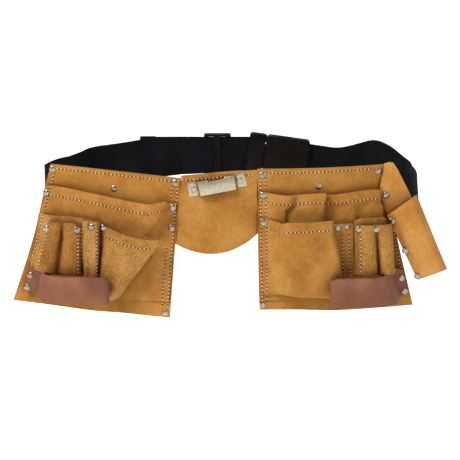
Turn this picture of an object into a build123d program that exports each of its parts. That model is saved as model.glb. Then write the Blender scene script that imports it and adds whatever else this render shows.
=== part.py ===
"""Carpenter's suede tool belt: a closed webbing belt with two hanging pouches, a centre panel and a hammer holder.

Frame: millimetres, +Z up, origin at the middle of the waist loop, the wearer's front (the pouches) towards -Y.
Each pouch is drawn in its own plane: u runs outward from the inner top corner, v runs down, w stands out of the
front of the leather, w = 0 being the rear face of its back panel.
"""

from math import cos, radians, sin

import os

from build123d import *

# ---- driving dimensions -------------------------------------------------------------------------------------
WEB_HEIGHT = 57.0  # belt webbing, two and a quarter inches
WEB_THICK = 2.4
FRONT_Y = -103.0  # rear face of the centre panel and of the pouches' inner corners
BACK_Y = 100.0  # middle of the webbing behind the wearer
BACK_TOP = 33.0  # top edge of the webbing where the adjuster sits
RIGHT_X = 276.0  # middle of the webbing at the right-hand turn
LEFT_X = -277.0
POUCH_YAW = 8.0  # the pouches wrap back round the wearer's hips
LEFT_ROLL = 4.7  # the left pouch hangs with its outer end higher
POUCH_TOP = 192.0  # width of a back panel along its top edge
POUCH_BOTTOM = 235.0
POUCH_HEIGHT = 211.0
SUEDE = 2.4  # split leather
TUNNEL_START = 14.0  # along a pouch's top edge
TUNNEL_END = 152.0
POCKET_WALL = 2.0
REAR_DEPTH = 18.0  # front of the full-width rear pocket above the back panel's rear face
FRONT_BULK = 26.0  # how far the big front pockets stand off the rear pocket
SLOT_BULK = 10.0  # and the flat tool pockets beside them
TUBE_BULK = 15.0  # how far the tool tubes stand off the flat tool pockets
PENCIL_BULK = 10.0
BOTTOM_HEM = 20.0  # bare panel below the front pockets
RIGHT_LOOP_LENGTH = 96.0  # hollow part of a smooth leather tool loop
LEFT_LOOP_LENGTH = 108.0
LOOP_HEIGHT = 38.0
LOOP_THICK = 13.0
LOOP_WALL = 2.4
SLEEVE_WIDTH = 46.0
SLEEVE_DEPTH = 30.0
SLEEVE_LENGTH = 109.0
SLEEVE_TILT = 24.5
RIVET_D = 10.0
RIVET_H = 1.7
BUCKLE_TILT = 8.0  # the closed buckle sags to the wearer's left
BUCKLE_RIM = 6.0  # the buckle stands this far past the webbing's edges
BUCKLE_HALF_THICK = 7.0
BRACKET_LENGTH = 84.0
BRACKET_HEIGHT = 21.0
BRACKET_RISE = 9.0
BRACKET_STEEL = 1.5
BRACKET_TILT = 11.0
CENTRE_TILT = 6.9  # the belt climbs towards the wearer's left across the middle
CENTRE_DROP = 104.0
STRAP_LIFT = 2.2  # the hammer strap lies over the rivet caps

# ---- named clearances ---------------------------------------------------------------------------------------
SLOT_CLEAR = 0.1  # webbing's cut end to the end of the buckle's slot, at its corner
WEB_GAP = 0.7  # between the webbing and the leather round it
BODY_GAP = 0.5  # between leather pieces that move past each other
PANEL_GAP = 1.4  # between the centre panel and the pouches beside it
PLASTIC_GAP = 0.6  # between the two halves of the buckle

FRONT_DEPTH = REAR_DEPTH + FRONT_BULK
SLOT_DEPTH = REAR_DEPTH + SLOT_BULK
TUBE_DEPTH = SLOT_DEPTH + TUBE_BULK
PENCIL_DEPTH = SLOT_DEPTH + PENCIL_BULK
BUCKLE_HALF = WEB_HEIGHT / 2 + BUCKLE_RIM  # half the height of the buckle
WEB_OFFSET = WEB_GAP + WEB_THICK / 2  # from a panel's rear face to the middle of the webbing
TOP_DROP = SUEDE + 1.8  # from a pouch's top edge to the webbing's top edge
RIGHT_ORIGIN = (39.0, FRONT_Y, 27.0)
LEFT_ORIGIN = (-70.0, FRONT_Y, 14.0)
STRIP_BACK = -(WEB_GAP + WEB_THICK + WEB_GAP + SUEDE)


def wide(u):
    """A place across a pouch, laid out for a top edge of 192."""
    return u * POUCH_TOP / 192.0


def deep(v):
    """A depth down a pouch, laid out for a panel of 211."""
    return v * POUCH_HEIGHT / 211.0


def edge_at(v):
    """Where a pouch's outer edge is at depth v."""
    return POUCH_TOP + (POUCH_BOTTOM - POUCH_TOP) * v / (POUCH_HEIGHT + 3.0)


def pouch_plane(side):
    """The plane of a pouch's rear face; side is +1 for the right pouch, -1 for the left."""
    yaw = radians(POUCH_YAW)
    roll = radians(LEFT_ROLL if side < 0 else 0.0)
    return Plane(
        origin=RIGHT_ORIGIN if side > 0 else LEFT_ORIGIN,
        x_dir=(cos(yaw) * cos(roll), side * sin(yaw) * cos(roll), -sin(roll)),
        z_dir=(side * sin(yaw), -cos(yaw), 0),
    )


def across(plane, side, v, lift=0.0):
    """A plane square to v at depth v: its x is side * u, its y is w, and it extrudes downwards."""
    at = plane.from_local_coords((0, -v, lift))
    return Plane(origin=at, x_dir=plane.x_dir, z_dir=-plane.y_dir)


def turned(plane, degrees):
    """The same plane with its axes turned anticlockwise about its normal."""
    a = radians(degrees)
    return Plane(origin=plane.origin, x_dir=plane.x_dir * cos(a) + plane.y_dir * sin(a), z_dir=plane.z_dir)


def flat(side, spots):
    """Points (u, v) of a pouch as sketch coordinates, in order."""
    return [(side * u, -v) for u, v in spots]


def back_panel(side, label):
    """A trapezoid of suede with a rounded outer bottom corner."""
    outline = [(0, 0), (POUCH_TOP, 0), (POUCH_BOTTOM, POUCH_HEIGHT + 3), (3, POUCH_HEIGHT)]
    with BuildPart() as panel:
        with BuildSketch(pouch_plane(side)) as face:
            Polygon(*flat(side, outline), align=None)
            fillet(face.vertices(), radius=7)
        extrude(amount=SUEDE)
    panel.part.label = label
    return panel.part


def belt_tunnel(plane, side, u0, u1, label):
    """The leather folded over the webbing and down behind it, open along the bottom of the panel."""
    height = TOP_DROP + WEB_HEIGHT + 6.0
    with BuildPart() as tunnel:
        with BuildSketch(across(plane, side, 0)):
            with Locations((side * (u0 + u1) / 2, (STRIP_BACK - BODY_GAP) / 2)):
                Rectangle(u1 - u0, -STRIP_BACK - BODY_GAP)
        extrude(amount=height)
        with BuildSketch(across(plane, side, SUEDE)):
            with Locations((side * (u0 + u1) / 2, (STRIP_BACK + SUEDE) / 2)):
                Rectangle(u1 - u0 + 2, -STRIP_BACK - SUEDE)
        extrude(amount=height - 2 * SUEDE, mode=Mode.SUBTRACT)
    tunnel.part.label = label
    return tunnel.part


def pocket(side, top, bottom, w0, label, cells=1, open_bottom=False, flange=None):
    """A pocket: top and bottom are (v, u0, u1, w1); it is open at the top and its rear wall is one leather thick."""
    plane = pouch_plane(side)
    wall = POCKET_WALL
    with BuildPart() as bag:
        for v, u0, u1, w1 in (top, bottom):
            with BuildSketch(across(plane, side, v)) as ring:
                with Locations((side * (u0 + u1) / 2, (w0 + w1) / 2)):
                    Rectangle(u1 - u0, w1 - w0)
                fillet(ring.vertices().sort_by(Axis((0, 0, 0), plane.z_dir))[-2:], radius=4)
        loft()
        floor = 0.0 if open_bottom else wall
        for n in range(cells):
            for v, u0, u1, w1, down in ((*top, 0.0), (*bottom, floor)):
                step = (u1 - u0 - wall) / cells
                a = u0 + wall + n * step
                b = a + step - wall
                with BuildSketch(across(plane, side, v - down)):
                    with Locations((side * (a + b) / 2, (w0 + w1) / 2)):
                        Rectangle(b - a, w1 - w0 - 2 * wall)
            loft(mode=Mode.SUBTRACT)
        if flange is not None:
            v0, v1, u0, u1 = flange
            with BuildSketch(plane.offset(w0)):
                Polygon(*flat(side, [(u0, v0), (u1, v0), (u1, v1), (u0, v1)]), align=None)
            extrude(amount=wall)
    bag.part.label = label
    return bag.part


def tool_loop(side, u_outer, v_top, turn, length, label):
    """A doubled strap of smooth leather that lies across the pouch and folds back to its riveted outer end."""
    base = pouch_plane(side)
    pivot = base.from_local_coords((side * u_outer, -v_top, 0))
    plane = turned(Plane(origin=pivot, x_dir=base.x_dir, z_dir=base.z_dir), turn)
    low = max(FRONT_DEPTH, TUBE_DEPTH) + 2 * BODY_GAP
    high = low + LOOP_THICK
    tail_low = REAR_DEPTH + BODY_GAP
    near = 30.0  # from the riveted end to the hollow part
    far = near + length
    with BuildPart() as loop:
        with BuildSketch(across(plane, side, 0)) as ring:
            with Locations((-side * (near + far) / 2, (low + high) / 2)):
                SlotOverall(length, LOOP_THICK)
                SlotOverall(length - 2 * LOOP_WALL, LOOP_THICK - 2 * LOOP_WALL, mode=Mode.SUBTRACT)
        extrude(amount=LOOP_HEIGHT)
        with BuildSketch(across(plane, side, 8)):
            spots = [
                (0.0, tail_low),
                (0.0, tail_low + 5.2),
                (15.0, tail_low + 5.2),
                (near + 4.0, high - 1.2),
                (near + 4.0, high - LOOP_WALL),
                (near + 1.6, low + 3.4),
                (18.0, tail_low),
            ]
            Polygon(*[(-side * u, w) for u, w in spots], align=None)
        extrude(amount=LOOP_HEIGHT - 8)
    loop.part.label = label
    return loop.part


def rivet_caps(side, spots, label, plane=None):
    """Domed caps, one for each (u, v, w) in spots."""
    plane = plane or pouch_plane(side)
    with BuildPart() as caps:
        for u, v, w in spots:
            with BuildSketch(plane.offset(w)):
                with Locations((side * u, -v)):
                    Circle(RIVET_D / 2)
            extrude(amount=RIVET_H, taper=28)
    caps.part.label = label
    return caps.part


def save(part):
    """Write one piece to its own STEP file, named after its label."""
    export_step(part, f"parts/{part.label}.step")


os.makedirs("parts", exist_ok=True)

# ---- webbing: a closed band round the waist, open only inside the buckle --------------------------------------
yaw = radians(POUCH_YAW)
front_mid = FRONT_Y + WEB_OFFSET
corners = [
    (LEFT_ORIGIN[0] + 0.2, front_mid, 100.0),
    (RIGHT_ORIGIN[0] - 0.2, front_mid, 100.0),
    (RIGHT_X, front_mid + (RIGHT_X - RIGHT_ORIGIN[0]) * sin(yaw) / cos(yaw), 50.0),
    (RIGHT_X, 48.0, 45.0),
    (RIGHT_X - 40.0, BACK_Y, 60.0),
    (-125.0, BACK_Y, 120.0),
    (LEFT_X + 64.0, BACK_Y - 34.0, 45.0),
    (LEFT_X, front_mid + (LEFT_ORIGIN[0] - LEFT_X) * sin(yaw) / cos(yaw), 16.0),
]
tilt = radians(BUCKLE_TILT)
web_middle = BACK_TOP - WEB_HEIGHT / 2
buckle_z = web_middle - 2.0
buckle = Plane(origin=(53.0, BACK_Y, buckle_z), x_dir=(cos(tilt), 0, -sin(tilt)), z_dir=(0, -1, 0))
left_top = LEFT_ORIGIN[2] - TOP_DROP
right_top = RIGHT_ORIGIN[2] - TOP_DROP
left_slope = sin(radians(LEFT_ROLL)) / cos(radians(LEFT_ROLL)) / cos(yaw)
seat = WEB_HEIGHT / 2 / cos(tilt)
# the webbing is cut square inside each half of the tilted buckle, clear of the slot's end at its lower corner
web_end = round(53.0 - 5.5 * cos(tilt) - WEB_HEIGHT / 2 * sin(tilt) - SLOT_CLEAR, 1)
web_start = 102.5


def buckle_line(x):
    """Height of the webbing's top edge at x where it follows the tilted buckle."""
    return buckle_z - (x - 53.0) * sin(tilt) / cos(tilt) + seat


front_edge = [
    (-262.0, left_top + (LEFT_ORIGIN[0] + 262.0) * left_slope),
    (LEFT_ORIGIN[0], left_top),
    (RIGHT_ORIGIN[0], right_top),
    (233.0, right_top),
    (262.0, 12.0),
    (RIGHT_X + 9.0, -1.0),
]
back_edge = [
    (LEFT_X - 9.0, 18.0),
    (-262.0, 21.0),
    (-213.0, 23.7),
    (-127.0, 30.0),
    (-98.0, BACK_TOP),
    (46.0, BACK_TOP),
    (98.0, buckle_line(98.0)),
    (168.0, buckle_line(168.0)),
    (196.0, 21.0),
    (227.0, 31.0),
    (249.0, 21.0),
    (262.0, 12.0),
    (RIGHT_X + 9.0, -1.0),
]
front_edge = [(LEFT_X - 9.0, 18.0)] + front_edge
SKY = 90.0
PIT = -120.0
with BuildSketch(Plane.XY.offset(-75)) as waist:
    with BuildLine():
        Polyline(*[(x, y) for x, y, r in corners], close=True)
    make_face()
    for x, y, r in corners:
        fillet([waist.vertices().sort_by_distance((x, y, -75))[0]], radius=r)
with BuildPart() as belt_webbing:
    with BuildSketch(Plane.XY.offset(-75)):
        add(waist.sketch)
        offset(amount=WEB_THICK / 2, mode=Mode.REPLACE)
    extrude(amount=130)
    with BuildSketch(Plane.XY.offset(-75)):
        add(waist.sketch)
        offset(amount=-WEB_THICK / 2, mode=Mode.REPLACE)
    extrude(amount=130, mode=Mode.SUBTRACT)
    for edge, reach in ((front_edge, 200.0), (back_edge, -200.0)):
        with BuildSketch(Plane.XZ):
            Polygon(*edge, (edge[-1][0], SKY), (edge[0][0], SKY), align=None)
        extrude(amount=reach, mode=Mode.SUBTRACT)
        lower = [(x, z - WEB_HEIGHT) for x, z in edge]
        with BuildSketch(Plane.XZ):
            Polygon(*lower, (edge[-1][0], PIT), (edge[0][0], PIT), align=None)
        extrude(amount=reach, mode=Mode.SUBTRACT)
    with BuildSketch(Plane.XZ):
        with Locations(((web_end + web_start) / 2, 0)):
            Rectangle(web_start - web_end, 200.0)
    extrude(amount=-200.0, mode=Mode.SUBTRACT)
belt_webbing.part.label = "belt_webbing"
save(belt_webbing.part)

with BuildPart() as webbing_tail:
    with BuildSketch(Plane.XZ.offset(-(BACK_Y + WEB_THICK / 2 + 0.3))):
        with Locations((-52.0, web_middle)):
            Rectangle(170.0, WEB_HEIGHT - 1.0)
    extrude(amount=-2.2)
    with BuildSketch(Plane.XZ.offset(-(BACK_Y + WEB_THICK / 2 + 2.5))):
        with Locations((-127.0, web_middle)):
            Rectangle(20.0, WEB_HEIGHT - 1.0)
    extrude(amount=-2.2)
webbing_tail.part.label = "webbing_tail"
save(webbing_tail.part)

# ---- slide adjuster on the webbing ----------------------------------------------------------------------------
with BuildPart() as tri_glide:
    with BuildSketch(Plane.XZ.offset(-95.5)):
        with Locations((-19.5, web_middle)):
            RectangleRounded(42.0, WEB_HEIGHT + 10.0, 3.0)
            Rectangle(29.0, WEB_HEIGHT + 2.0, mode=Mode.SUBTRACT)
    extrude(amount=-11.5)
    with BuildSketch(Plane.XZ.offset(-95.5)):
        with Locations((-19.5, web_middle)):
            Rectangle(42.0, WEB_HEIGHT + 2.0)
    extrude(amount=-8.6, mode=Mode.SUBTRACT)
    with BuildSketch(Plane.XZ.offset(-95.5)):
        with Locations((-19.5, web_middle)):
            Rectangle(10.0, WEB_HEIGHT + 3.0)
    extrude(amount=-2.6)
tri_glide.part.label = "tri_glide"
save(tri_glide.part)

# ---- side-release buckle --------------------------------------------------------------------------------------
CAVITY_HALF = BUCKLE_HALF - 5.0
PRONG_OUT = CAVITY_HALF - PLASTIC_GAP  # outer edge of a prong above the buckle's middle
PRONG_IN = PRONG_OUT - 8.4
PRONG_REACH = 36.0
FEMALE_LENGTH = 67.5
with BuildPart() as buckle_male_frame:
    with BuildSketch(buckle.offset(-BUCKLE_HALF_THICK + 1)) as base:
        with Locations((-13.5, 0)):
            RectangleRounded(25.0, 2 * BUCKLE_HALF, 4.0)
    extrude(amount=2 * BUCKLE_HALF_THICK - 2)
    with BuildSketch(buckle.offset(-1.9 - WEB_THICK - 0.6)):
        with Locations((-16.0, 0)):
            Rectangle(21.0, 2 * BUCKLE_HALF - 7.0)
    extrude(amount=2 * 1.9 + WEB_THICK + 0.6, mode=Mode.SUBTRACT)
    with BuildSketch(buckle.offset(-2.5)):
        with Locations((14.0, 0)):
            RectangleRounded(31.0, 9.0, 2.0)
    extrude(amount=5.0)
buckle_male_frame.part.label = "buckle_male_frame"
save(buckle_male_frame.part)

for up, label in ((1, "buckle_prong_upper"), (-1, "buckle_prong_lower")):
    with BuildPart() as prong:
        with BuildSketch(buckle.offset(-3.4)) as arm:
            spots = [
                (-0.7, PRONG_IN + 1.0),
                (18.0, PRONG_IN + 0.5),
                (PRONG_REACH, PRONG_IN),
                (PRONG_REACH, PRONG_OUT - 4.0),
                (PRONG_REACH - 5.0, PRONG_OUT - 0.6),
                (20.0, PRONG_OUT),
                (17.0, PRONG_OUT - 2.6),
                (-0.7, PRONG_OUT - 2.8),
            ]
            Polygon(*[(s, up * t) for s, t in spots], align=None)
        extrude(amount=6.8)
    prong.part.label = label
    save(prong.part)

with BuildPart() as buckle_female:
    with BuildSketch(buckle.offset(-BUCKLE_HALF_THICK)):
        with Locations((PLASTIC_GAP + FEMALE_LENGTH / 2, 0)):
            RectangleRounded(FEMALE_LENGTH, 2 * BUCKLE_HALF, 5.0)
    extrude(amount=2 * BUCKLE_HALF_THICK)
    with BuildSketch(buckle.offset(-4.2)):
        with Locations((22.0, 0)):
            Rectangle(45.0, 2 * CAVITY_HALF)
    extrude(amount=8.4, mode=Mode.SUBTRACT)
    with BuildSketch(buckle.offset(-4.2)):
        with Locations((29.0, 0)):
            Rectangle(22.0, 2 * BUCKLE_HALF + 2.0)
    extrude(amount=8.4, mode=Mode.SUBTRACT)
    with BuildSketch(buckle.offset(-WEB_THICK / 2 - 0.9)):
        with Locations((55.0, 0)):
            Rectangle(40.0, WEB_HEIGHT + 1.6)
    extrude(amount=WEB_THICK + 1.8, mode=Mode.SUBTRACT)
buckle_female.part.label = "buckle_female"
save(buckle_female.part)

# ---- pouches --------------------------------------------------------------------------------------------------
for side, hand in ((1, "right"), (-1, "left")):
    save(back_panel(side, f"{hand}_back_panel"))
    save(belt_tunnel(pouch_plane(side), side, TUNNEL_START, TUNNEL_END, f"{hand}_belt_tunnel"))
    save(
        pocket(
            side,
            (deep(34.0), 14.0, POUCH_TOP - 12.0, REAR_DEPTH),
            (POUCH_HEIGHT - 4.0, 14.0, POUCH_BOTTOM - 13.0, REAR_DEPTH),
            SUEDE,
            f"{hand}_rear_pocket",
        )
    )

save(
    pocket(
        1,
        (deep(74.0), 15.0, wide(106.0), FRONT_DEPTH),
        (POUCH_HEIGHT - BOTTOM_HEM, 15.0, wide(120.0), FRONT_DEPTH - 5.0),
        REAR_DEPTH,
        "right_front_pocket",
        flange=(deep(78.0), POUCH_HEIGHT - BOTTOM_HEM, wide(104.0), wide(138.0)),
    )
)
save(
    pocket(
        1,
        (deep(71.0), wide(139.0), wide(184.0), SLOT_DEPTH),
        (deep(152.0), wide(140.0), wide(196.0), SLOT_DEPTH),
        REAR_DEPTH,
        "right_tool_pocket",
    )
)
save(
    pocket(
        1,
        (deep(78.0), wide(144.0), wide(184.0), TUBE_DEPTH),
        (deep(150.0), wide(144.0), wide(193.0), TUBE_DEPTH),
        SLOT_DEPTH,
        "right_tool_tubes",
        cells=2,
        open_bottom=True,
    )
)
save(
    pocket(
        -1,
        (deep(81.0), 15.0, wide(102.0), FRONT_DEPTH),
        (POUCH_HEIGHT - BOTTOM_HEM, 15.0, wide(90.0), FRONT_DEPTH - 5.0),
        REAR_DEPTH,
        "left_front_pocket",
    )
)
save(
    pocket(
        -1,
        (deep(71.0), wide(108.0), wide(188.0), SLOT_DEPTH),
        (deep(152.0), wide(108.0), wide(202.0), SLOT_DEPTH),
        REAR_DEPTH,
        "left_tool_pocket",
    )
)
save(
    pocket(
        -1,
        (deep(76.0), wide(138.0), wide(186.0), TUBE_DEPTH),
        (deep(149.0), wide(132.0), wide(196.0), TUBE_DEPTH),
        SLOT_DEPTH,
        "left_tool_tubes",
        cells=2,
        open_bottom=True,
    )
)
save(
    pocket(
        -1,
        (deep(71.0), wide(109.0), wide(136.0), PENCIL_DEPTH),
        (deep(152.0), wide(109.0), wide(130.0), PENCIL_DEPTH),
        SLOT_DEPTH,
        "left_pencil_slots",
        cells=2,
        open_bottom=True,
    )
)

right_loop_v = deep(153.0)
left_loop_v = deep(156.0)
right_loop_u = edge_at(right_loop_v) + 3.3
left_loop_u = edge_at(left_loop_v) + 0.7
save(tool_loop(1, right_loop_u, right_loop_v, 0.0, RIGHT_LOOP_LENGTH, "right_tool_loop"))
save(tool_loop(-1, left_loop_u, left_loop_v, 4.0, LEFT_LOOP_LENGTH, "left_tool_loop"))

foot = POUCH_HEIGHT - 8.0
right_spots = [(8, 8), (POUCH_TOP - 16, 8), (8, deep(37)), (8, deep(77)), (8, foot), (wide(89), deep(26))]
right_spots = [(u, v, SUEDE) for u, v in right_spots]
right_spots += [(wide(u), deep(85), REAR_DEPTH + POCKET_WALL) for u in (114, 128)]
right_spots += [(wide(149), deep(84), TUBE_DEPTH), (wide(167), deep(85), TUBE_DEPTH)]
save(rivet_caps(1, right_spots, "right_rivets"))
left_spots = [(8, 8), (POUCH_TOP - 6, 8), (8, deep(43)), (8, deep(74)), (8, foot), (wide(96), deep(26))]
left_spots += [(POUCH_TOP + 2, deep(42))]
left_spots = [(u, v, SUEDE) for u, v in left_spots]
left_spots += [(wide(180), deep(86), TUBE_DEPTH), (wide(143), deep(83), TUBE_DEPTH)]
left_spots += [(wide(130), deep(78), PENCIL_DEPTH), (wide(115), deep(78), PENCIL_DEPTH)]
save(rivet_caps(-1, left_spots, "left_rivets"))

# ---- centre panel and its tape clip ---------------------------------------------------------------------------
middle_x = (LEFT_ORIGIN[0] + RIGHT_ORIGIN[0]) / 2
middle_z = (LEFT_ORIGIN[2] + RIGHT_ORIGIN[2]) / 2
slant = radians(CENTRE_TILT)
centre = Plane(
    origin=(middle_x, FRONT_Y, middle_z), x_dir=(cos(slant), 0, sin(slant)), z_dir=(0, -1, 0)
)
half_gap = (RIGHT_ORIGIN[0] - LEFT_ORIGIN[0]) / 2 - PANEL_GAP
left_lean = CENTRE_DROP * sin(radians(LEFT_ROLL))
with BuildPart() as centre_panel:
    with BuildSketch(Plane.XZ.offset(-FRONT_Y)):
        with BuildLine():
            Polyline(
                (middle_x - half_gap - left_lean, LEFT_ORIGIN[2] - CENTRE_DROP),
                (middle_x - half_gap, LEFT_ORIGIN[2]),
                (middle_x + half_gap, RIGHT_ORIGIN[2]),
                (middle_x + half_gap, RIGHT_ORIGIN[2] - CENTRE_DROP),
            )
            ThreePointArc(
                (middle_x + half_gap, RIGHT_ORIGIN[2] - CENTRE_DROP),
                (middle_x - 7.0, middle_z - CENTRE_DROP - 13.0),
                (middle_x - half_gap - left_lean, LEFT_ORIGIN[2] - CENTRE_DROP),
            )
        make_face()
    extrude(amount=SUEDE)
centre_panel.part.label = "centre_panel"
save(centre_panel.part)
save(belt_tunnel(centre, 1, -42.0, 42.0, "centre_belt_tunnel"))

bracket = Plane(
    origin=(middle_x - 3.1, FRONT_Y - SUEDE, middle_z - 15.0),
    x_dir=(cos(radians(BRACKET_TILT)), 0, sin(radians(BRACKET_TILT))),
    z_dir=(0, -1, 0),
)
half = BRACKET_LENGTH / 2
rise = BRACKET_RISE
steel = BRACKET_STEEL
with BuildPart() as tape_clip_bracket:
    with BuildSketch(across(bracket, 1, -BRACKET_HEIGHT / 2)):
        spots = [
            (-half, 0),
            (-28.5, 0),
            (-25.0, rise),
            (25.0, rise),
            (28.5, 0),
            (half, 0),
            (half, steel),
            (29.5, steel),
            (26.0, rise + steel),
            (-26.0, rise + steel),
            (-29.5, steel),
            (-half, steel),
        ]
        Polygon(*spots, align=None)
    extrude(amount=BRACKET_HEIGHT)
    with BuildSketch(bracket.offset(rise - 1)):
        with Locations((0, BRACKET_HEIGHT / 2)):
            RectangleRounded(24.0, 5.0, 2.0)
    extrude(amount=5, mode=Mode.SUBTRACT)
    with BuildSketch(bracket.offset(-1)):
        with Locations((-33.6, 0), (33.6, 0)):
            Circle(3.0)
    extrude(amount=5, mode=Mode.SUBTRACT)
tape_clip_bracket.part.label = "tape_clip_bracket"
save(tape_clip_bracket.part)
with BuildPart() as tape_clip_rivets:
    with BuildSketch(bracket):
        with Locations((-33.6, 0), (33.6, 0)):
            Circle(2.8)
    extrude(amount=steel)
    with BuildSketch(bracket.offset(steel)):
        with Locations((-33.6, 0), (33.6, 0)):
            Circle(3.9)
    extrude(amount=1.2)
tape_clip_rivets.part.label = "tape_clip_rivets"
save(tape_clip_rivets.part)

# ---- hammer holder --------------------------------------------------------------------------------------------
right = pouch_plane(1)
with BuildPart() as hammer_strap:
    with BuildSketch(right.offset(SUEDE + STRAP_LIFT)):
        spots = [(-9, -8), (15, -7), (18, 8), (36, 48), (48, 80), (20, 92), (4, 76), (-8, 34)]
        Polygon(*flat(1, [(POUCH_TOP + u, v) for u, v in spots]), align=None)
    extrude(amount=SUEDE)
hammer_strap.part.label = "hammer_strap"
save(hammer_strap.part)
sleeve_low = 2 * SUEDE + STRAP_LIFT
corner = right.from_local_coords((POUCH_TOP - 2.0, -68.0, 0))
tube = turned(Plane(origin=corner, x_dir=right.x_dir, z_dir=right.z_dir), SLEEVE_TILT)
with BuildPart() as hammer_sleeve:
    with BuildSketch(across(tube, 1, 0)) as outline:
        with Locations((SLEEVE_WIDTH / 2, sleeve_low + SLEEVE_DEPTH / 2)):
            RectangleRounded(SLEEVE_WIDTH, SLEEVE_DEPTH, 11.0)
            RectangleRounded(SLEEVE_WIDTH - 6.0, SLEEVE_DEPTH - 6.0, 8.5, mode=Mode.SUBTRACT)
    extrude(amount=SLEEVE_LENGTH)
hammer_sleeve.part.label = "hammer_sleeve"
save(hammer_sleeve.part)
sleeve_rivets = [(13.5, v, sleeve_low + SLEEVE_DEPTH) for v in (9.0, 58.0, SLEEVE_LENGTH - 8.0)]
save(rivet_caps(1, sleeve_rivets, "hammer_sleeve_rivets", tube))
save(rivet_caps(1, [(POUCH_TOP - 1, 42, 2 * SUEDE + STRAP_LIFT)], "hammer_strap_rivet"))

for side, u_outer, v_top, turn, hand in (
    (1, right_loop_u, right_loop_v, 0.0, "right"),
    (-1, left_loop_u, left_loop_v, 4.0, "left"),
):
    base = pouch_plane(side)
    pivot = base.from_local_coords((side * u_outer, -v_top, 0))
    plane = turned(Plane(origin=pivot, x_dir=base.x_dir, z_dir=base.z_dir), turn)
    w = REAR_DEPTH + BODY_GAP + 5.2
    save(rivet_caps(side, [(-7.0, 15.0, w), (-7.0, 33.0, w)], f"{hand}_loop_rivets", plane))
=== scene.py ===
"""Carpenter's suede tool belt: webbing, buckle, two slumping pouches, a centre panel and a hammer sleeve."""

import logging
import math
from dataclasses import dataclass, field
from enum import Enum
from typing import Callable, Optional, Sequence

import bpy
import numpy as np
from mathutils import Matrix, Vector, noise
from mathutils.bvhtree import BVHTree


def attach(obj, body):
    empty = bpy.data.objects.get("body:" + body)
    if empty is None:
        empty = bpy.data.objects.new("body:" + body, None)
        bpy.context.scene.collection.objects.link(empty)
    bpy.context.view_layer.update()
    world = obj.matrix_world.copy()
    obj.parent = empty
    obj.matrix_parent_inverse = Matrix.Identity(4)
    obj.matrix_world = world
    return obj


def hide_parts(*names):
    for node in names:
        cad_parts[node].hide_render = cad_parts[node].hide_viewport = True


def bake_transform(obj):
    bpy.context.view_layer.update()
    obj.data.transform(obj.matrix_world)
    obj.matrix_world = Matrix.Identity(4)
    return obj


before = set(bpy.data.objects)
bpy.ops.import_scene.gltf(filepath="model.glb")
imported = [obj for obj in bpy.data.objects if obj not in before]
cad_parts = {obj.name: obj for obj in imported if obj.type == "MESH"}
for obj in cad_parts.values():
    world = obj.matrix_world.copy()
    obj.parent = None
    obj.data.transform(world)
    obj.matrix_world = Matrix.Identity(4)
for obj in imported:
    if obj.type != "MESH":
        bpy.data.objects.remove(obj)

LOG = logging.getLogger("tool_belt")
MM = 0.001
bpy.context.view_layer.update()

Spot = tuple[float, float]
Knot = tuple[float, float, float]
Piece = bpy.types.Object
Material = bpy.types.Material
Socket = bpy.types.NodeSocket


# ---- small modelling tools ---------------------------------------------------------------------
def deselect() -> None:
    """Clear the selection and leave edit mode."""
    if bpy.context.mode != "OBJECT":
        bpy.ops.object.mode_set(mode="OBJECT")
    bpy.ops.object.select_all(action="DESELECT")


def take(piece: Piece) -> None:
    """Make one piece the only selected and active object.

    Args:
        piece: the object to work on.
    """
    deselect()
    piece.select_set(True)
    bpy.context.view_layer.objects.active = piece


def finish_with(piece: Piece, kind: str, **settings: object) -> None:
    """Add one modifier and apply it.

    Args:
        piece: the object it is for.
        kind: the modifier's type.
        settings: values for the modifier's fields.
    """
    take(piece)
    modifier = piece.modifiers.new(kind.lower(), kind)
    for key, value in settings.items():
        setattr(modifier, key, value)
    bpy.ops.object.modifier_apply(modifier=modifier.name)


def pick(piece: Piece, wanted: Callable[[bpy.types.MeshPolygon], bool]) -> None:
    """Enter edit mode with some of a piece's faces selected.

    Args:
        piece: the object to work on.
        wanted: tells whether a face is one of them.
    """
    take(piece)
    bpy.ops.object.mode_set(mode="EDIT")
    bpy.ops.mesh.select_mode(type="FACE")
    bpy.ops.mesh.select_all(action="DESELECT")
    bpy.ops.object.mode_set(mode="OBJECT")
    for polygon in piece.data.polygons:
        polygon.select = bool(wanted(polygon))
    bpy.ops.object.mode_set(mode="EDIT")


def corners_of(piece: Piece) -> np.ndarray:
    """Return a piece's vertex places as an (n, 3) array in metres."""
    co = np.zeros(len(piece.data.vertices) * 3, np.float32)
    piece.data.vertices.foreach_get("co", co)
    return co.reshape(-1, 3).astype(float)


def put_corners(piece: Piece, places: np.ndarray) -> None:
    """Move a piece's vertices.

    Args:
        piece: the object to reshape.
        places: an (n, 3) array in metres.
    """
    piece.data.vertices.foreach_set("co", places.astype(np.float32).ravel())
    piece.data.update()


def normals_of(piece: Piece) -> np.ndarray:
    """Return a piece's vertex normals as an (n, 3) array."""
    out = np.zeros(len(piece.data.vertices) * 3, np.float32)
    piece.data.vertices.foreach_get("normal", out)
    return out.reshape(-1, 3).astype(float)


def smooth(piece: Piece, degrees: float = 40.0) -> None:
    """Shade a piece smooth up to an angle between its faces."""
    take(piece)
    bpy.ops.object.shade_smooth_by_angle(angle=math.radians(degrees))


def dress(piece: Piece, *materials: Material) -> Piece:
    """Give a piece its materials, in slot order.

    Args:
        piece: the object.
        materials: one for each slot.

    Returns:
        The same object.
    """
    piece.data.materials.clear()
    for material in materials:
        piece.data.materials.append(material)
    return piece


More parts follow.
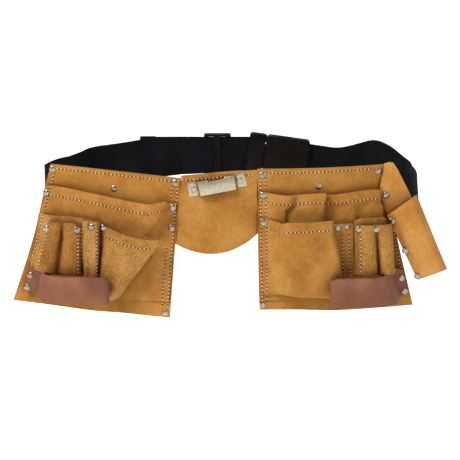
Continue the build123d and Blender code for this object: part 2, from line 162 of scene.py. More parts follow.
def run_through(knots: np.ndarray, at: np.ndarray) -> np.ndarray:
    """Follow evenly spaced knots without overshooting them.

    Args:
        knots: a (k, ...) array.
        at: positions from 0 to k - 1.

    Returns:
        The values at those positions, as a (len(at), ...) array.
    """
    step = np.diff(knots, axis=0)
    slope = np.zeros_like(knots)
    left, right = step[:-1], step[1:]
    same = left * right > 0
    total = np.where(same, left + right, 1.0)
    slope[1:-1] = np.where(same, 2 * left * right / total, 0.0)
    slope[0], slope[-1] = step[0], step[-1]
    index = np.clip(at.astype(int), 0, len(knots) - 2)
    t = (at - index).reshape((-1,) + (1,) * (knots.ndim - 1))
    a, b = knots[index], knots[index + 1]
    p, q = slope[index], slope[index + 1]
    return (
        (2 * t**3 - 3 * t**2 + 1) * a + (t**3 - 2 * t**2 + t) * p + (
            3 * t**2 - 2 * t**3
        ) * b + (t**3 - t**2) * q
    )


@dataclass(frozen=True)
class Plot:
    """The plane a hanging piece is laid out in: u outward, v down, w to the front, in millimetres."""

    origin: Vector
    across: Vector
    down: Vector
    out: Vector

    def at(self, u: float, v: float, w: float) -> Vector:
        """Return the place of (u, v, w) in metres."""
        return (self.origin + self.across * u + self.down * v + self.out * w) * MM

    def many(self, spots: np.ndarray) -> np.ndarray:
        """Return an (..., 3) array of (u, v, w) as places in metres."""
        basis = np.array([self.across, self.down, self.out])
        return (np.array(self.origin) + spots @ basis) * MM

    def local(self, places: np.ndarray) -> np.ndarray:
        """Return places in metres as (u, v, w) in millimetres."""
        basis = np.array([self.across, self.down, self.out])
        return (places / MM - np.array(self.origin)) @ basis.T

    def mirrored(self) -> bool:
        """Tell whether u and v make a left-handed pair."""
        return self.across.cross(-self.down).dot(self.out) < 0

    def turned(self, u: float, v: float, degrees: float) -> "Plot":
        """Return the plot moved to (u, v) and turned anticlockwise as seen from the front."""
        turn = Matrix.Rotation(math.radians(degrees), 3, self.out)
        return Plot(self.at(u, v, 0) / MM, turn @ self.across, turn @ self.down, self.out)


def hanging_plot(origin: Knot, yaw: float, roll: float, side: int) -> Plot:
    """Lay out the plane of a hanging piece.

    Args:
        origin: its inner top corner in millimetres.
        yaw: how far it wraps back round the hip, in degrees.
        roll: how much higher its left-hand end is, in degrees.
        side: +1 for one that runs to +X, -1 for one that runs to -X.

    Returns:
        The plot.
    """
    a, r = math.radians(yaw), math.radians(roll)
    along = Vector((math.cos(a) * math.cos(r), side * math.sin(a) * math.cos(r), -math.sin(r)))
    out = Vector((side * math.sin(a), -math.cos(a), 0.0))
    return Plot(Vector(origin), along * side, -out.cross(along), out)


RIGHT = hanging_plot((39.0, -103.0, 27.0), 8.0, 0.0, 1)
LEFT = hanging_plot((-70.0, -103.0, 14.0), 8.0, 4.7, -1)
CENTRE = hanging_plot((-15.5, -103.0, 20.5), 0.0, -6.9, 1)


def grid_piece(name: str, places: np.ndarray, flip: bool = False) -> Piece:
    """Model a sheet from a grid primitive whose points are drawn to their places.

    Args:
        name: the piece's name.
        places: a (rows, columns, 3) array in metres, rows running down and columns across.
        flip: whether its faces are turned over.

    Returns:
        The new object, with its places in its mesh.
    """
    rows, columns = places.shape[:2]
    deselect()
    bpy.ops.mesh.primitive_grid_add(x_subdivisions=columns - 1, y_subdivisions=rows - 1, size=2.0)
    piece = bpy.context.active_object
    piece.name = name
    flat = corners_of(piece)
    i = np.rint((1 - flat[:, 1]) / 2 * (rows - 1)).astype(int)
    j = np.rint((flat[:, 0] + 1) / 2 * (columns - 1)).astype(int)
    put_corners(piece, places[i, j])
    along = np.linalg.norm(np.diff(places[rows // 2], axis=0, prepend=places[rows // 2][:1]), axis=1).cumsum()
    down = np.linalg.norm(
        np.diff(places[:, columns // 2], axis=0, prepend=places[:1, columns // 2]), axis=1
    ).cumsum()
    corner = np.zeros(len(piece.data.loops), np.int32)
    piece.data.loops.foreach_get("vertex_index", corner)
    layer = piece.data.uv_layers[0]
    layer.name = "run"
    layer.data.foreach_set("uv", np.stack([along[j], down[i]], axis=1)[corner].astype(np.float32).ravel())
    if flip:
        piece.data.flip_normals()
    return piece


def wrinkle(piece: Piece, height: float, size: float, seed: float) -> None:
    """Work soft unevenness into a surface.

    Args:
        piece: the object to reshape.
        height: how far a point moves, in millimetres.
        size: the width of a dent, in millimetres.
        seed: picks the pattern.
    """
    places, out = corners_of(piece), normals_of(piece)
    scale = 1 / (size * MM)
    lift = np.array([noise.noise(Vector(p) * scale + Vector((seed, 2 * seed, -seed))) for p in places])
    put_corners(piece, places + out * (lift * height * MM)[:, None])


def press(piece: Piece, plot: Plot, line: Sequence[Spot], depth: float, width: float) -> None:
    """Sink a groove into a sheet where thread pulls it in.

    Args:
        piece: the sheet.
        plot: the plane the line is given in.
        line: the groove's corners as (u, v).
        depth: how far it sinks, in millimetres.
        width: half its width, in millimetres.
    """
    places = corners_of(piece)
    spots = plot.local(places)[:, :2]
    near = np.full(len(spots), 1e9)
    for a, b in zip(line[:-1], line[1:]):
        p, d = np.array(a), np.array(b) - np.array(a)
        t = np.clip((spots - p) @ d / max(d @ d, 1e-9), 0, 1)
        near = np.minimum(near, np.linalg.norm(spots - p - t[:, None] * d, axis=1))
    sink = depth * np.clip(1 - (near / width) ** 2, 0, 1) ** 2
    put_corners(piece, places - np.outer(sink * MM, np.array(plot.out)))


@dataclass
class Sheet:
    """A cut piece of leather, given as a net of knots (u, v, w) that its surface passes through."""

    name: str
    net: Sequence[Sequence[Knot]]
    thick: float = 2.0
    pitch: float = 1.8
    hem: float = 0.0
    hem_lift: float = 0.9
    uneven: float = 0.5
    uneven_size: float = 22.0
    seed: float = 1.0
    grooves: Sequence[Sequence[Spot]] = ()
    groove_depth: float = 0.7
    groove_half: float = 2.6

    def build(self, plot: Plot, face: Material, edge: Material) -> Piece:
        """Model the sheet.

        Args:
            plot: the plane its knots are given in.
            face: the leather's finish.
            edge: the finish of its cut edge.

        Returns:
            The finished piece.
        """
        full = self.laid()
        piece = grid_piece(self.name, plot.many(full), plot.mirrored())
        if self.uneven:
            wrinkle(piece, self.uneven, self.uneven_size, self.seed)
            wrinkle(piece, self.uneven * 0.35, self.uneven_size * 0.35, self.seed + 5)
        for line in self.grooves:
            press(piece, plot, line, self.groove_depth, self.groove_half)
        finish_with(
            piece,
            "SOLIDIFY",
            thickness=self.thick * MM,
            offset=-1.0,
            material_offset_rim=1,
            use_even_offset=False,
        )
        dress(piece, face, edge)
        smooth(piece, 55)
        return piece

    def laid(self) -> np.ndarray:
        """Return the sheet's surface as a (rows, columns, 3) array of (u, v, w) in millimetres."""
        net = np.array(self.net, float)
        wide = np.linalg.norm(np.diff(net, axis=1), axis=2).sum(axis=1).max()
        tall = np.linalg.norm(np.diff(net, axis=0), axis=2).sum(axis=0).max()
        columns = max(8, int(wide / self.pitch)) + 1
        rows = max(6, int(tall / self.pitch)) + 1
        across = self.spread(net, 1, columns)
        full = run_through(net.transpose(1, 0, 2), across).transpose(1, 0, 2)
        down = self.spread(net, 0, rows)
        full = run_through(full, down)
        if self.hem:
            run = np.cumsum(np.linalg.norm(np.diff(full, axis=0, prepend=full[:1]), axis=2), axis=0)
            step = 1 / (1 + np.exp((run - self.hem) * 2.2))
            full[..., 2] += self.hem_lift * step
        return full

    @staticmethod
    def spread(net: np.ndarray, axis: int, count: int) -> np.ndarray:
        """Return knot positions that space the mesh's lines evenly, yet reach every knot's stretch."""
        lengths = np.linalg.norm(np.diff(net, axis=axis), axis=2).max(axis=1 - axis)
        lengths = np.maximum(lengths, lengths.sum() / (6 * len(lengths)))
        total = np.concatenate([[0.0], np.cumsum(lengths)])
        return np.interp(np.linspace(0, total[-1], count), total, np.arange(len(total)))


# ---- finishes ----------------------------------------------------------------------------------
def srgb(code: str) -> tuple[float, float, float, float]:
    """Turn an sRGB hex colour into a linear one."""
    parts = [int(code[i : i + 2], 16) / 255 for i in (1, 3, 5)]
    return (*[c / 12.92 if c <= 0.04045 else ((c + 0.055) / 1.055) ** 2.4 for c in parts], 1.0)


@dataclass
class Recipe:
    """A node tree being written."""

    name: str
    material: Material = field(init=False)

    def __post_init__(self) -> None:
        """Start an empty material with a shader and its output."""
        self.material = bpy.data.materials.new(self.name)
        self.material.use_nodes = True
        self.tree = self.material.node_tree
        self.shader = self.tree.nodes["Principled BSDF"]

    def add(self, kind: str, links: Optional[dict] = None, **settings: object) -> bpy.types.Node:
        """Add one node.

        Args:
            kind: the node's type, without its ShaderNode prefix.
            links: input name or number to a value or to another node's output socket.
            settings: values for the node's fields.

        Returns:
            The node.
        """
        made = self.tree.nodes.new("ShaderNode" + kind)
        for key, value in settings.items():
            setattr(made, key, value)
        self.feed(made, links or {})
        return made

    def feed(self, made: bpy.types.Node, links: dict) -> None:
        """Set or link a node's inputs."""
        for key, value in links.items():
            if isinstance(value, Socket):
                self.tree.links.new(value, made.inputs[key])
            else:
                made.inputs[key].default_value = value

    def ramp(self, factor: Socket, stops: Sequence[tuple[float, str]]) -> Socket:
        """Colour a value through stops of (place, sRGB code)."""
        made = self.add("ValToRGB", {"Fac": factor})
        ramp = made.color_ramp
        while len(ramp.elements) < len(stops):
            ramp.elements.new(0.5)
        for element, (place, code) in zip(ramp.elements, stops):
            element.position = place
            element.color = srgb(code)
        return made.outputs["Color"]

    def level(self, factor: Socket, low: float, high: float, a: float, b: float) -> Socket:
        """Stretch a value from low..high to a..b, clamped."""
        made = self.add(
            "MapRange", {"Value": factor, "From Min": low, "From Max": high, "To Min": a, "To Max": b}
        )
        return made.outputs["Result"]

    def noise(self, where: Socket, size: float, detail: float = 4.0, rough: float = 0.55) -> Socket:
        """Noise with patches of about the given size in millimetres."""
        made = self.add(
            "TexNoise", {"Vector": where, "Scale": 1 / (size * MM), "Detail": detail, "Roughness": rough}
        )
        return made.outputs["Fac"]

    def blend(self, factor: object, a: object, b: object, how: str = "MIX") -> Socket:
        """Mix two colours."""
        made = self.add("Mix", data_type="RGBA", blend_type=how)
        self.feed(made, {0: factor, 6: a, 7: b})
        return made.outputs[2]

    def bump(self, height: Socket, distance: float, strength: float, under: object = None) -> Socket:
        """Turn a height into a normal, on top of another normal."""
        links = {"Height": height, "Distance": distance * MM, "Strength": strength}
        if under is not None:
            links["Normal"] = under
        return self.add("Bump", links).outputs["Normal"]


class Nap(Enum):
    """How open the surface of the split leather is."""

    FINE = "fine"
    OPEN = "open"


@dataclass(frozen=True)
class Suede:
    """Split cowhide: a matt nap with cloudy dye, darker specks of loose fibre, a soft warm sheen and painted
    shade that browns it where pieces lie close.
    """

    name: str
    nap: Nap
    dark: str
    middle: str
    light: str

    def build(self) -> Material:
        """Write the material."""
        r = Recipe(self.name)
        where = r.add("TexCoord").outputs["Object"]
        # wide clouds of dye, as on a hide that took colour unevenly
        clouds = r.noise(where, 46.0, 3.0, 0.5)
        mottle = r.noise(where, 9.0, 5.0, 0.6)
        base = r.ramp(clouds, ((0.30, self.dark), (0.5, self.middle), (0.70, self.light)))
        streaks = r.ramp(mottle, ((0.28, self.dark), (0.55, self.middle), (0.75, self.light)))
        base = r.blend(0.38, base, streaks)
        # nap: fibre ends about half a millimetre wide, catching and losing the light
        size = 0.9 if self.nap is Nap.FINE else 1.5
        fibre = r.noise(where, size, 6.0, 0.72)
        speck = r.level(fibre, 0.36, 0.66, 0.0, 1.0)
        deep = r.blend(1.0, base, srgb("#C4AE93" if self.nap is Nap.FINE else "#9C8365"), "MULTIPLY")
        bright = r.blend(0.5 if self.nap is Nap.FINE else 0.7, base, srgb("#EAD9B4"), "SOFT_LIGHT")
        colour = r.blend(speck, deep, bright)
        # painted shade: an ambient-occlusion mask browns the colour at the seams, in the folds under the
        # flaps and wherever pieces lie close together
        shade_occlusion = r.add("AmbientOcclusion", {"Distance": 22 * MM}, samples=8)
        painted_shade = r.level(shade_occlusion.outputs["AO"], 0.30, 0.85, 1.0, 0.0)
        colour = r.blend(painted_shade, colour, r.blend(1.0, colour, srgb("#B0764A"), "MULTIPLY"))
        rough = r.level(mottle, 0.3, 0.7, 0.98, 0.84)
        folds = r.bump(mottle, 0.5, 0.25)
        nap = r.bump(fibre, 0.35 if self.nap is Nap.FINE else 0.7, 0.55, folds)
        r.feed(
            r.shader,
            {
                "Base Color": colour,
                "Roughness": rough,
                "Normal": nap,
                "Sheen Weight": 0.22,
                "Sheen Roughness": 0.5,
                "Sheen Tint": srgb("#D9B98A"),
                "Specular IOR Level": 0.12,
            },
        )
        return r.material


@dataclass(frozen=True)
class SmoothLeather:
    """Oiled top-grain strap leather: reddish brown, with fine pores and a dull shine."""

    name: str = "top_grain_strap_leather"
    dark: str = "#643A24"
    middle: str = "#7A4930"
    light: str = "#8E5A3E"

    def build(self) -> Material:
        """Write the material."""
        r = Recipe(self.name)
        where = r.add("TexCoord").outputs["Object"]
        clouds = r.noise(where, 38.0, 3.0, 0.5)
        grain = r.noise(where, 0.8, 5.0, 0.6)
        colour = r.ramp(clouds, ((0.30, self.dark), (0.52, self.middle), (0.72, self.light)))
        pores = r.add("TexVoronoi", {"Vector": where, "Scale": 1 / (0.9 * MM)}, feature="DISTANCE_TO_EDGE")
        colour = r.blend(r.level(pores.outputs["Distance"], 0.0, 0.12, 0.35, 0.0), colour, srgb("#5E3422"))
        skin = r.bump(pores.outputs["Distance"], 0.12, 0.35)
        skin = r.bump(grain, 0.10, 0.3, skin)
        r.feed(
            r.shader,
            {
                "Base Color": colour,
                "Roughness": r.level(grain, 0.3, 0.7, 0.50, 0.66),
                "Normal": skin,
                "Specular IOR Level": 0.32,
            },
        )
        return r.material


@dataclass(frozen=True)
class Webbing:
    """Heavy woven polypropylene: navy black, close ribs across the strap and a faint sheen on each yarn."""

    name: str = "woven_polypropylene_webbing"

    def build(self) -> Material:
        """Write the material; the strap's own map runs in metres along and across it."""
        r = Recipe(self.name)
        where = r.add("UVMap", uv_map="run").outputs["UV"]
        flat = r.add("TexCoord").outputs["Object"]
        # weft ribs 1.6 mm apart and warp yarns 1.1 mm apart, each a rounded ridge
        ribs = r.add(
            "TexWave",
            {"Vector": where, "Scale": math.tau / 20 / (1.6 * MM), "Distortion": 0.6, "Detail": 1.0},
            bands_direction="X",
            wave_profile="SIN",
        )
        yarns = r.add(
            "TexWave",
            {"Vector": where, "Scale": math.tau / 20 / (1.1 * MM), "Distortion": 0.4, "Detail": 1.0},
            bands_direction="Y",
            wave_profile="SIN",
        )
        weave = r.add(
            "Math", {0: ribs.outputs["Fac"], 1: yarns.outputs["Fac"]}, operation="MULTIPLY"
        ).outputs[0]
        clouds = r.noise(flat, 30.0, 2.0, 0.5)
        dye = r.ramp(clouds, ((0.3, "#010204"), (0.55, "#030509"), (0.8, "#070B14")))
        colour = r.blend(r.level(weave, 0.2, 0.9, 0.0, 0.5), dye, srgb("#0A0F1B"))
        r.feed(
            r.shader,
            {
                "Base Color": colour,
                "Roughness": r.level(weave, 0.0, 1.0, 0.85, 0.6),
                "Normal": r.bump(weave, 0.35, 0.7),
                "Sheen Weight": 0.03,
                "Sheen Roughness": 0.4,
                "Sheen Tint": srgb("#5B6C8F"),
                "Specular IOR Level": 0.14,
            },
        )
        return r.material


@dataclass(frozen=True)
class Plastic:
    """Injection-moulded acetal: black, very finely textured, a satin glint along its edges."""

    name: str
    tone: str

    def build(self) -> Material:
        """Write the material."""
        r = Recipe(self.name)
        where = r.add("TexCoord").outputs["Object"]
        spark = r.noise(where, 0.5, 3.0, 0.6)
        clouds = r.noise(where, 20.0, 2.0, 0.5)
        colour = r.blend(r.level(clouds, 0.3, 0.7, 0.0, 0.5), srgb(self.tone), srgb("#0D0D0E"))
        r.feed(
            r.shader,
            {
                "Base Color": colour,
                "Roughness": r.level(clouds, 0.3, 0.7, 0.34, 0.46),
                "Normal": r.bump(spark, 0.05, 0.4),
                "Specular IOR Level": 0.2,
            },
        )
        return r.material


@dataclass(frozen=True)
class Metal:
    """Plated steel: brighter and duller patches mixed at random, with fine rubbing marks."""

    name: str
    bright: str
    dull: str
    low: float
    high: float

    def build(self) -> Material:
        """Write the material."""
        r = Recipe(self.name)
        where = r.add("TexCoord").outputs["Object"]
        stain = r.noise(where, 5.0, 4.0, 0.6)
        rubs = r.noise(where, 0.6, 3.0, 0.6)
        colour = r.blend(r.level(stain, 0.35, 0.7, 0.0, 1.0), srgb(self.bright), srgb(self.dull))
        r.feed(
            r.shader,
            {
                "Base Color": colour,
                "Metallic": 1.0,
                "Roughness": r.level(rubs, 0.3, 0.7, self.low, self.high),
                "Normal": r.bump(rubs, 0.006, 0.12),
            },
        )
        return r.material


@dataclass(frozen=True)
class Thread:
    """Waxed cream thread, picked up a little tan from the leather."""

    name: str = "waxed_cream_thread"

    def build(self) -> Material:
        """Write the material."""
        r = Recipe(self.name)
        where = r.add("TexCoord").outputs["Object"]
        dirt = r.noise(where, 7.0, 3.0, 0.6)
        twist = r.noise(where, 0.4, 2.0, 0.5)
        colour = r.ramp(dirt, ((0.3, "#C9A27A"), (0.55, "#E6D0B3"), (0.8, "#F3E6D2")))
        r.feed(
            r.shader,
            {
                "Base Color": colour,
                "Roughness": r.level(twist, 0.3, 0.7, 0.7, 0.9),
                "Normal": r.bump(twist, 0.1, 0.4),
            },
        )
        return r.material


@dataclass
class Finishes:
    """Every finish on the belt."""

    suede: Material = field(
        default_factory=Suede("split_suede", Nap.FINE, "#91622C", "#AC7C3D", "#C19256").build
    )
    coarse: Material = field(
        default_factory=Suede("split_suede_rough_side", Nap.OPEN, "#946732", "#B0854C", "#C79B62").build
    )
    sleeve: Material = field(
        default_factory=Suede("split_suede_pale", Nap.FINE, "#AE783A", "#C78F4F", "#D6A466").build
    )
    # a darker copy of the rough-side suede, painted shade on the left pouch's tool tubes
    brown: Material = field(
        default_factory=Suede("split_suede_brown_side", Nap.OPEN, "#7E5427", "#986B37", "#AE8148").build
    )
    edge: Material = field(
        default_factory=Suede("cut_suede_edge", Nap.OPEN, "#5E3418", "#774824", "#8E5E34").build
    )
    strap: Material = field(default_factory=SmoothLeather().build)
    webbing: Material = field(default_factory=Webbing().build)
    plastic: Material = field(default_factory=Plastic("moulded_black_acetal", "#060607").build)
    nickel: Material = field(
        default_factory=Metal("nickel_plated_rivet", "#A8A196", "#7D7467", 0.24, 0.40).build
    )
    steel: Material = field(
        default_factory=Metal("pressed_plated_steel", "#B8AC96", "#A79B85", 0.34, 0.42).build
    )
    thread: Material = field(default_factory=Thread().build)
    # near-black suede for the discs at the needle holes: painted shade where each hole is
    hole: Material = field(
        default_factory=Suede("needle_hole_leather", Nap.FINE, "#3E1A0A", "#4E2610", "#5E3118").build
    )
    strap_edge: Material = field(
        default_factory=SmoothLeather("cut_strap_edge", "#3E1D12", "#50291A", "#653723").build
    )


# ---- things that repeat ------------------------------------------------------------------------
def scatter(name: str, template: Piece, places: Sequence[Matrix]) -> Piece:
    """Copy a small modelled shape to many places, as one piece.

    Args:
        name: the new piece's name.
        template: the shape, which is then removed.
        places: where each copy goes.

    Returns:
        The piece that holds the copies.
    """
    copies = []
    for place in places:
        copy = template.copy()
        copy.data = template.data.copy()
        copy.data.transform(place)
        bpy.context.scene.collection.objects.link(copy)
        copies.append(copy)
    deselect()
    for copy in copies:
        copy.select_set(True)
    bpy.context.view_layer.objects.active = copies[0]
    bpy.ops.object.join()
    piece = bpy.context.active_object
    piece.name = name
    bpy.data.objects.remove(template)
    return piece


def settle(out: Vector, along: Vector, place: Vector) -> Matrix:
    """Return the matrix that stands a shape's Z on out and its X along a line."""
    z = out.normalized()
    x = (along - z * along.dot(z)).normalized()
    y = z.cross(x)
    return Matrix.Translation(place) @ Matrix((x, y, z)).transposed().to_4x4()


def surface_of(*pieces: Piece) -> list[BVHTree]:
    """Return a lookup tree for each piece's surface."""
    return [
        BVHTree.FromPolygons(
            [v.co for v in piece.data.vertices], [list(p.vertices) for p in piece.data.polygons]
        ) for piece in pieces
    ]


def find(trees: Sequence[BVHTree], plot: Plot, u: float, v: float) -> Optional[tuple[Vector, Vector]]:
    """Find the foremost surface over (u, v).

    Args:
        trees: the surfaces to look on.
        plot: the plane u and v are in.
        u: outward, in millimetres.
        v: down, in millimetres.

    Returns:
        Its place and normal, or None where there is none.
    """
    best = None
    start = plot.at(u, v, 150.0)
    for tree in trees:
        place, normal, _, reach = tree.ray_cast(start, -plot.out)
        if place is not None and (best is None or reach < best[2]):
            best = (place, normal, reach)
    return None if best is None else (best[0], best[1])


@dataclass
class Stitching:
    """Rows of lock stitch laid on the surfaces they hold."""

    thread: Material
    hole: Material
    pitch: float = 5.5
    length: float = 3.0
    width: float = 1.25
    hole_radius: float = 0.85
    hole_out: float = 0.62

    def template(self) -> Piece:
        """Model one stitch: a short rounded strand, a little fatter at its middle."""
        deselect()
        bpy.ops.mesh.primitive_uv_sphere_add(
            segments=8, ring_count=5, radius=1.0, rotation=(0, math.pi / 2, 0)
        )
        stitch = bpy.context.active_object
        bpy.ops.object.transform_apply(rotation=True)
        places = corners_of(stitch)
        places *= np.array([self.length / 2, self.width / 2, self.width * 0.45]) * MM
        put_corners(stitch, places)
        bpy.ops.object.shade_smooth()
        parts = [dress(stitch, self.thread)]
        # a dark disc under each end of the stitch is painted shade for the needle hole
        for end in (-1, 1):
            deselect()
            bpy.ops.mesh.primitive_cylinder_add(
                vertices=8,
                radius=self.hole_radius * MM,
                depth=0.5 * MM,
                location=(end * self.length * self.hole_out * MM, 0, -0.10 * MM),
            )
            hole = bpy.context.active_object
            bpy.ops.object.transform_apply(location=True)
            parts.append(dress(hole, self.hole))
        return fuse("stitch", parts)

    def build(self, name: str, plot: Plot, rows: Sequence[tuple[Sequence[Spot], Sequence[Piece]]]) -> Piece:
        """Sew the rows.

        Args:
            name: the piece's name.
            plot: the plane the rows are given in.
            rows: each a line of (u, v) corners and the pieces it is sewn on.

        Returns:
            One piece that holds every stitch.
        """
        spots: list[Matrix] = []
        for line, pieces in rows:
            trees = surface_of(*pieces)
            points = np.array(line, float)
            legs = np.linalg.norm(np.diff(points, axis=0), axis=1)
            run = np.concatenate([[0.0], np.cumsum(legs)])
            count = max(1, int(run[-1] / self.pitch))
            for k in range(count):
                s = (k + 0.5) * run[-1] / count
                ends = [
                    find(
                        trees,
                        plot,
                        float(np.interp(s + d, run, points[:, 0])),
                        float(np.interp(s + d, run, points[:, 1])),
                    ) for d in (-self.length * 0.45, 0.0, self.length * 0.45)
                ]
                if any(end is None for end in ends):
                    continue
                (a, _), (middle, normal), (b, _) = ends
                if (b - a).length > self.length * 1.8 * MM:
                    continue
                wobble = 0.12 * math.sin(k * 2.4) * MM
                side = normal.cross(b - a).normalized() * wobble
                spots.append(settle(normal, b - a, middle + side + normal * self.width * 0.18 * MM))
        return scatter(name, self.template(), spots)


@dataclass
class Rivet:
    """A two-part nickel rivet: a pressed cap with a turned-down rim and a shallow dome."""

    radius: float = 4.6
    height: float = 1.7

    def template(self) -> Piece:
        """Model one cap from a disc, drawn up ring by ring into a dome."""
        deselect()
        bpy.ops.mesh.primitive_cylinder_add(
            vertices=28, radius=self.radius * MM, depth=0.8 * MM, location=(0, 0, 0.2 * MM)
        )
        cap = bpy.context.active_object
        bpy.ops.object.transform_apply(location=True)
        pick(cap, lambda face: face.normal.z > 0.9)
        for inset, rise in ((0.35, 0.28), (0.8, 0.36), (1.2, 0.24), (1.2, 0.1), (0.8, 0.02)):
            bpy.ops.mesh.inset(thickness=inset * MM, depth=0)
            bpy.ops.transform.translate(value=(0, 0, rise * MM))
        bpy.ops.object.mode_set(mode="OBJECT")
        smooth(cap, 50)
        return cap

    def build(self, name: str, plot: Plot, spots: Sequence[Spot], pieces: Sequence[Piece]) -> Piece:
        """Set caps on the surfaces they hold.

        Args:
            name: the piece's name.
            plot: the plane the spots are given in.
            spots: each cap's (u, v).
            pieces: the leather under them.

        Returns:
            One piece that holds every cap.
        """
        trees = surface_of(*pieces)
        places = []
        for n, (u, v) in enumerate(spots):
            found = [
                find(trees, plot, u + du, v + dv) for du, dv in ((0, 0), (3, 0), (-3, 0), (0, 3), (0, -3))
            ]
            seen = [f for f in found if f is not None]
            place = max((f[0] for f in seen), key=lambda p: p.dot(plot.out))
            centre = plot.at(u, v, 0)
            place = centre + plot.out * (place - centre).dot(plot.out)
            normal = (sum((f[1] for f in seen), Vector()) / len(seen) + plot.out * 1.2).normalized()
            lean = Vector((math.sin(n * 1.7), 0, math.cos(n * 2.3))) * 0.05
            places.append(settle(normal + lean, plot.across, place))
        return scatter(name, self.template(), places)


# ---- the webbing belt --------------------------------------------------------------------------
def rounded(corners: Sequence[Knot], step: float) -> np.ndarray:
    """Walk round a closed line with rounded corners.

    Args:
        corners: each corner's (x, y, radius) in millimetres.
        step: the distance between points.

    Returns:
        An (n, 2) array of evenly spaced points.
    """
    points = []
    for k, (x, y, radius) in enumerate(corners):
        here = np.array([x, y])
        back = np.array(corners[k - 1][:2]) - here
        on = np.array(corners[(k + 1) % len(corners)][:2]) - here
        back, on = back / np.linalg.norm(back), on / np.linalg.norm(on)
        half = math.acos(float(back @ on)) / 2
        middle = here + (back + on) / np.linalg.norm(back + on) * radius / math.sin(half)
        reach = radius / math.tan(half)
        for t in np.linspace(0, 1, 24):
            spoke = (here + back * reach - middle) * (1 - t) + (here + on * reach - middle) * t
            points.append(middle + spoke / np.linalg.norm(spoke) * radius)
    line = np.array(points + points[:1])
    run = np.concatenate([[0], np.cumsum(np.linalg.norm(np.diff(line, axis=0), axis=1))])
    at = np.arange(0, run[-1], step)
    return np.stack([np.interp(at, run, line[:, 0]), np.interp(at, run, line[:, 1])], axis=1)


def copy_node(name: str, node: str, width: float, segments: int = 2) -> Piece:
    """Copy a CAD node as a clean solid and round its edges.

    Args:
        name: the new piece's name.
        node: the CAD node it stands for.
        width: the rounding, in millimetres.
        segments: how many faces a rounding has.

    Returns:
        The rounded copy.
    """
    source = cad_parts[node]
    piece = source.copy()
    piece.data = source.data.copy()
    piece.parent = None
    for key in list(piece.keys()):
        del piece[key]
    bpy.context.scene.collection.objects.link(piece)
    piece.name = name
    take(piece)
    bpy.ops.object.mode_set(mode="EDIT")
    bpy.ops.mesh.select_all(action="SELECT")
    bpy.ops.mesh.remove_doubles(threshold=0.00002)
    bpy.ops.mesh.dissolve_limited(angle_limit=math.radians(2))
    bpy.ops.mesh.normals_make_consistent(inside=False)
    bpy.ops.object.mode_set(mode="OBJECT")
    if piece.data.has_custom_normals:
        bpy.ops.mesh.customdata_custom_splitnormals_clear()
    finish_with(
        piece,
        "BEVEL",
        width=width * MM,
        segments=segments,
        limit_method="ANGLE",
        angle_limit=math.radians(35),
    )
    smooth(piece, 40)
    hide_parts(node)
    return piece


def block(name: str, plot: Plot, low: Knot, high: Knot, rounding: float, segments: int = 3) -> Piece:
    """Model a rounded block between two corners.

    Args:
        name: its name.
        plot: the plane its corners are given in.
        low: its lowest (u, v, w).
        high: its highest (u, v, w).
        rounding: the radius of its edges, in millimetres.
        segments: how many faces a rounding has.

    Returns:
        The block.
    """
    deselect()
    bpy.ops.mesh.primitive_cube_add(size=1.0)
    piece = bpy.context.active_object
    piece.name = name
    middle, size = (np.array(low) + np.array(high)) / 2, np.array(high) - np.array(low)
    put_corners(piece, plot.many(corners_of(piece) * size + middle))
    if not plot.mirrored():
        piece.data.flip_normals()
    finish_with(piece, "BEVEL", width=rounding * MM, segments=segments, limit_method="ANGLE")
    smooth(piece, 35)
    return piece


def fuse(name: str, parts: Sequence[Piece]) -> Piece:
    """Join parts that are one moulding into one piece."""
    deselect()
    for part in parts:
        part.select_set(True)
    bpy.context.view_layer.objects.active = parts[0]
    if len(parts) > 1:
        bpy.ops.object.join()
    parts[0].name = name
    return parts[0]


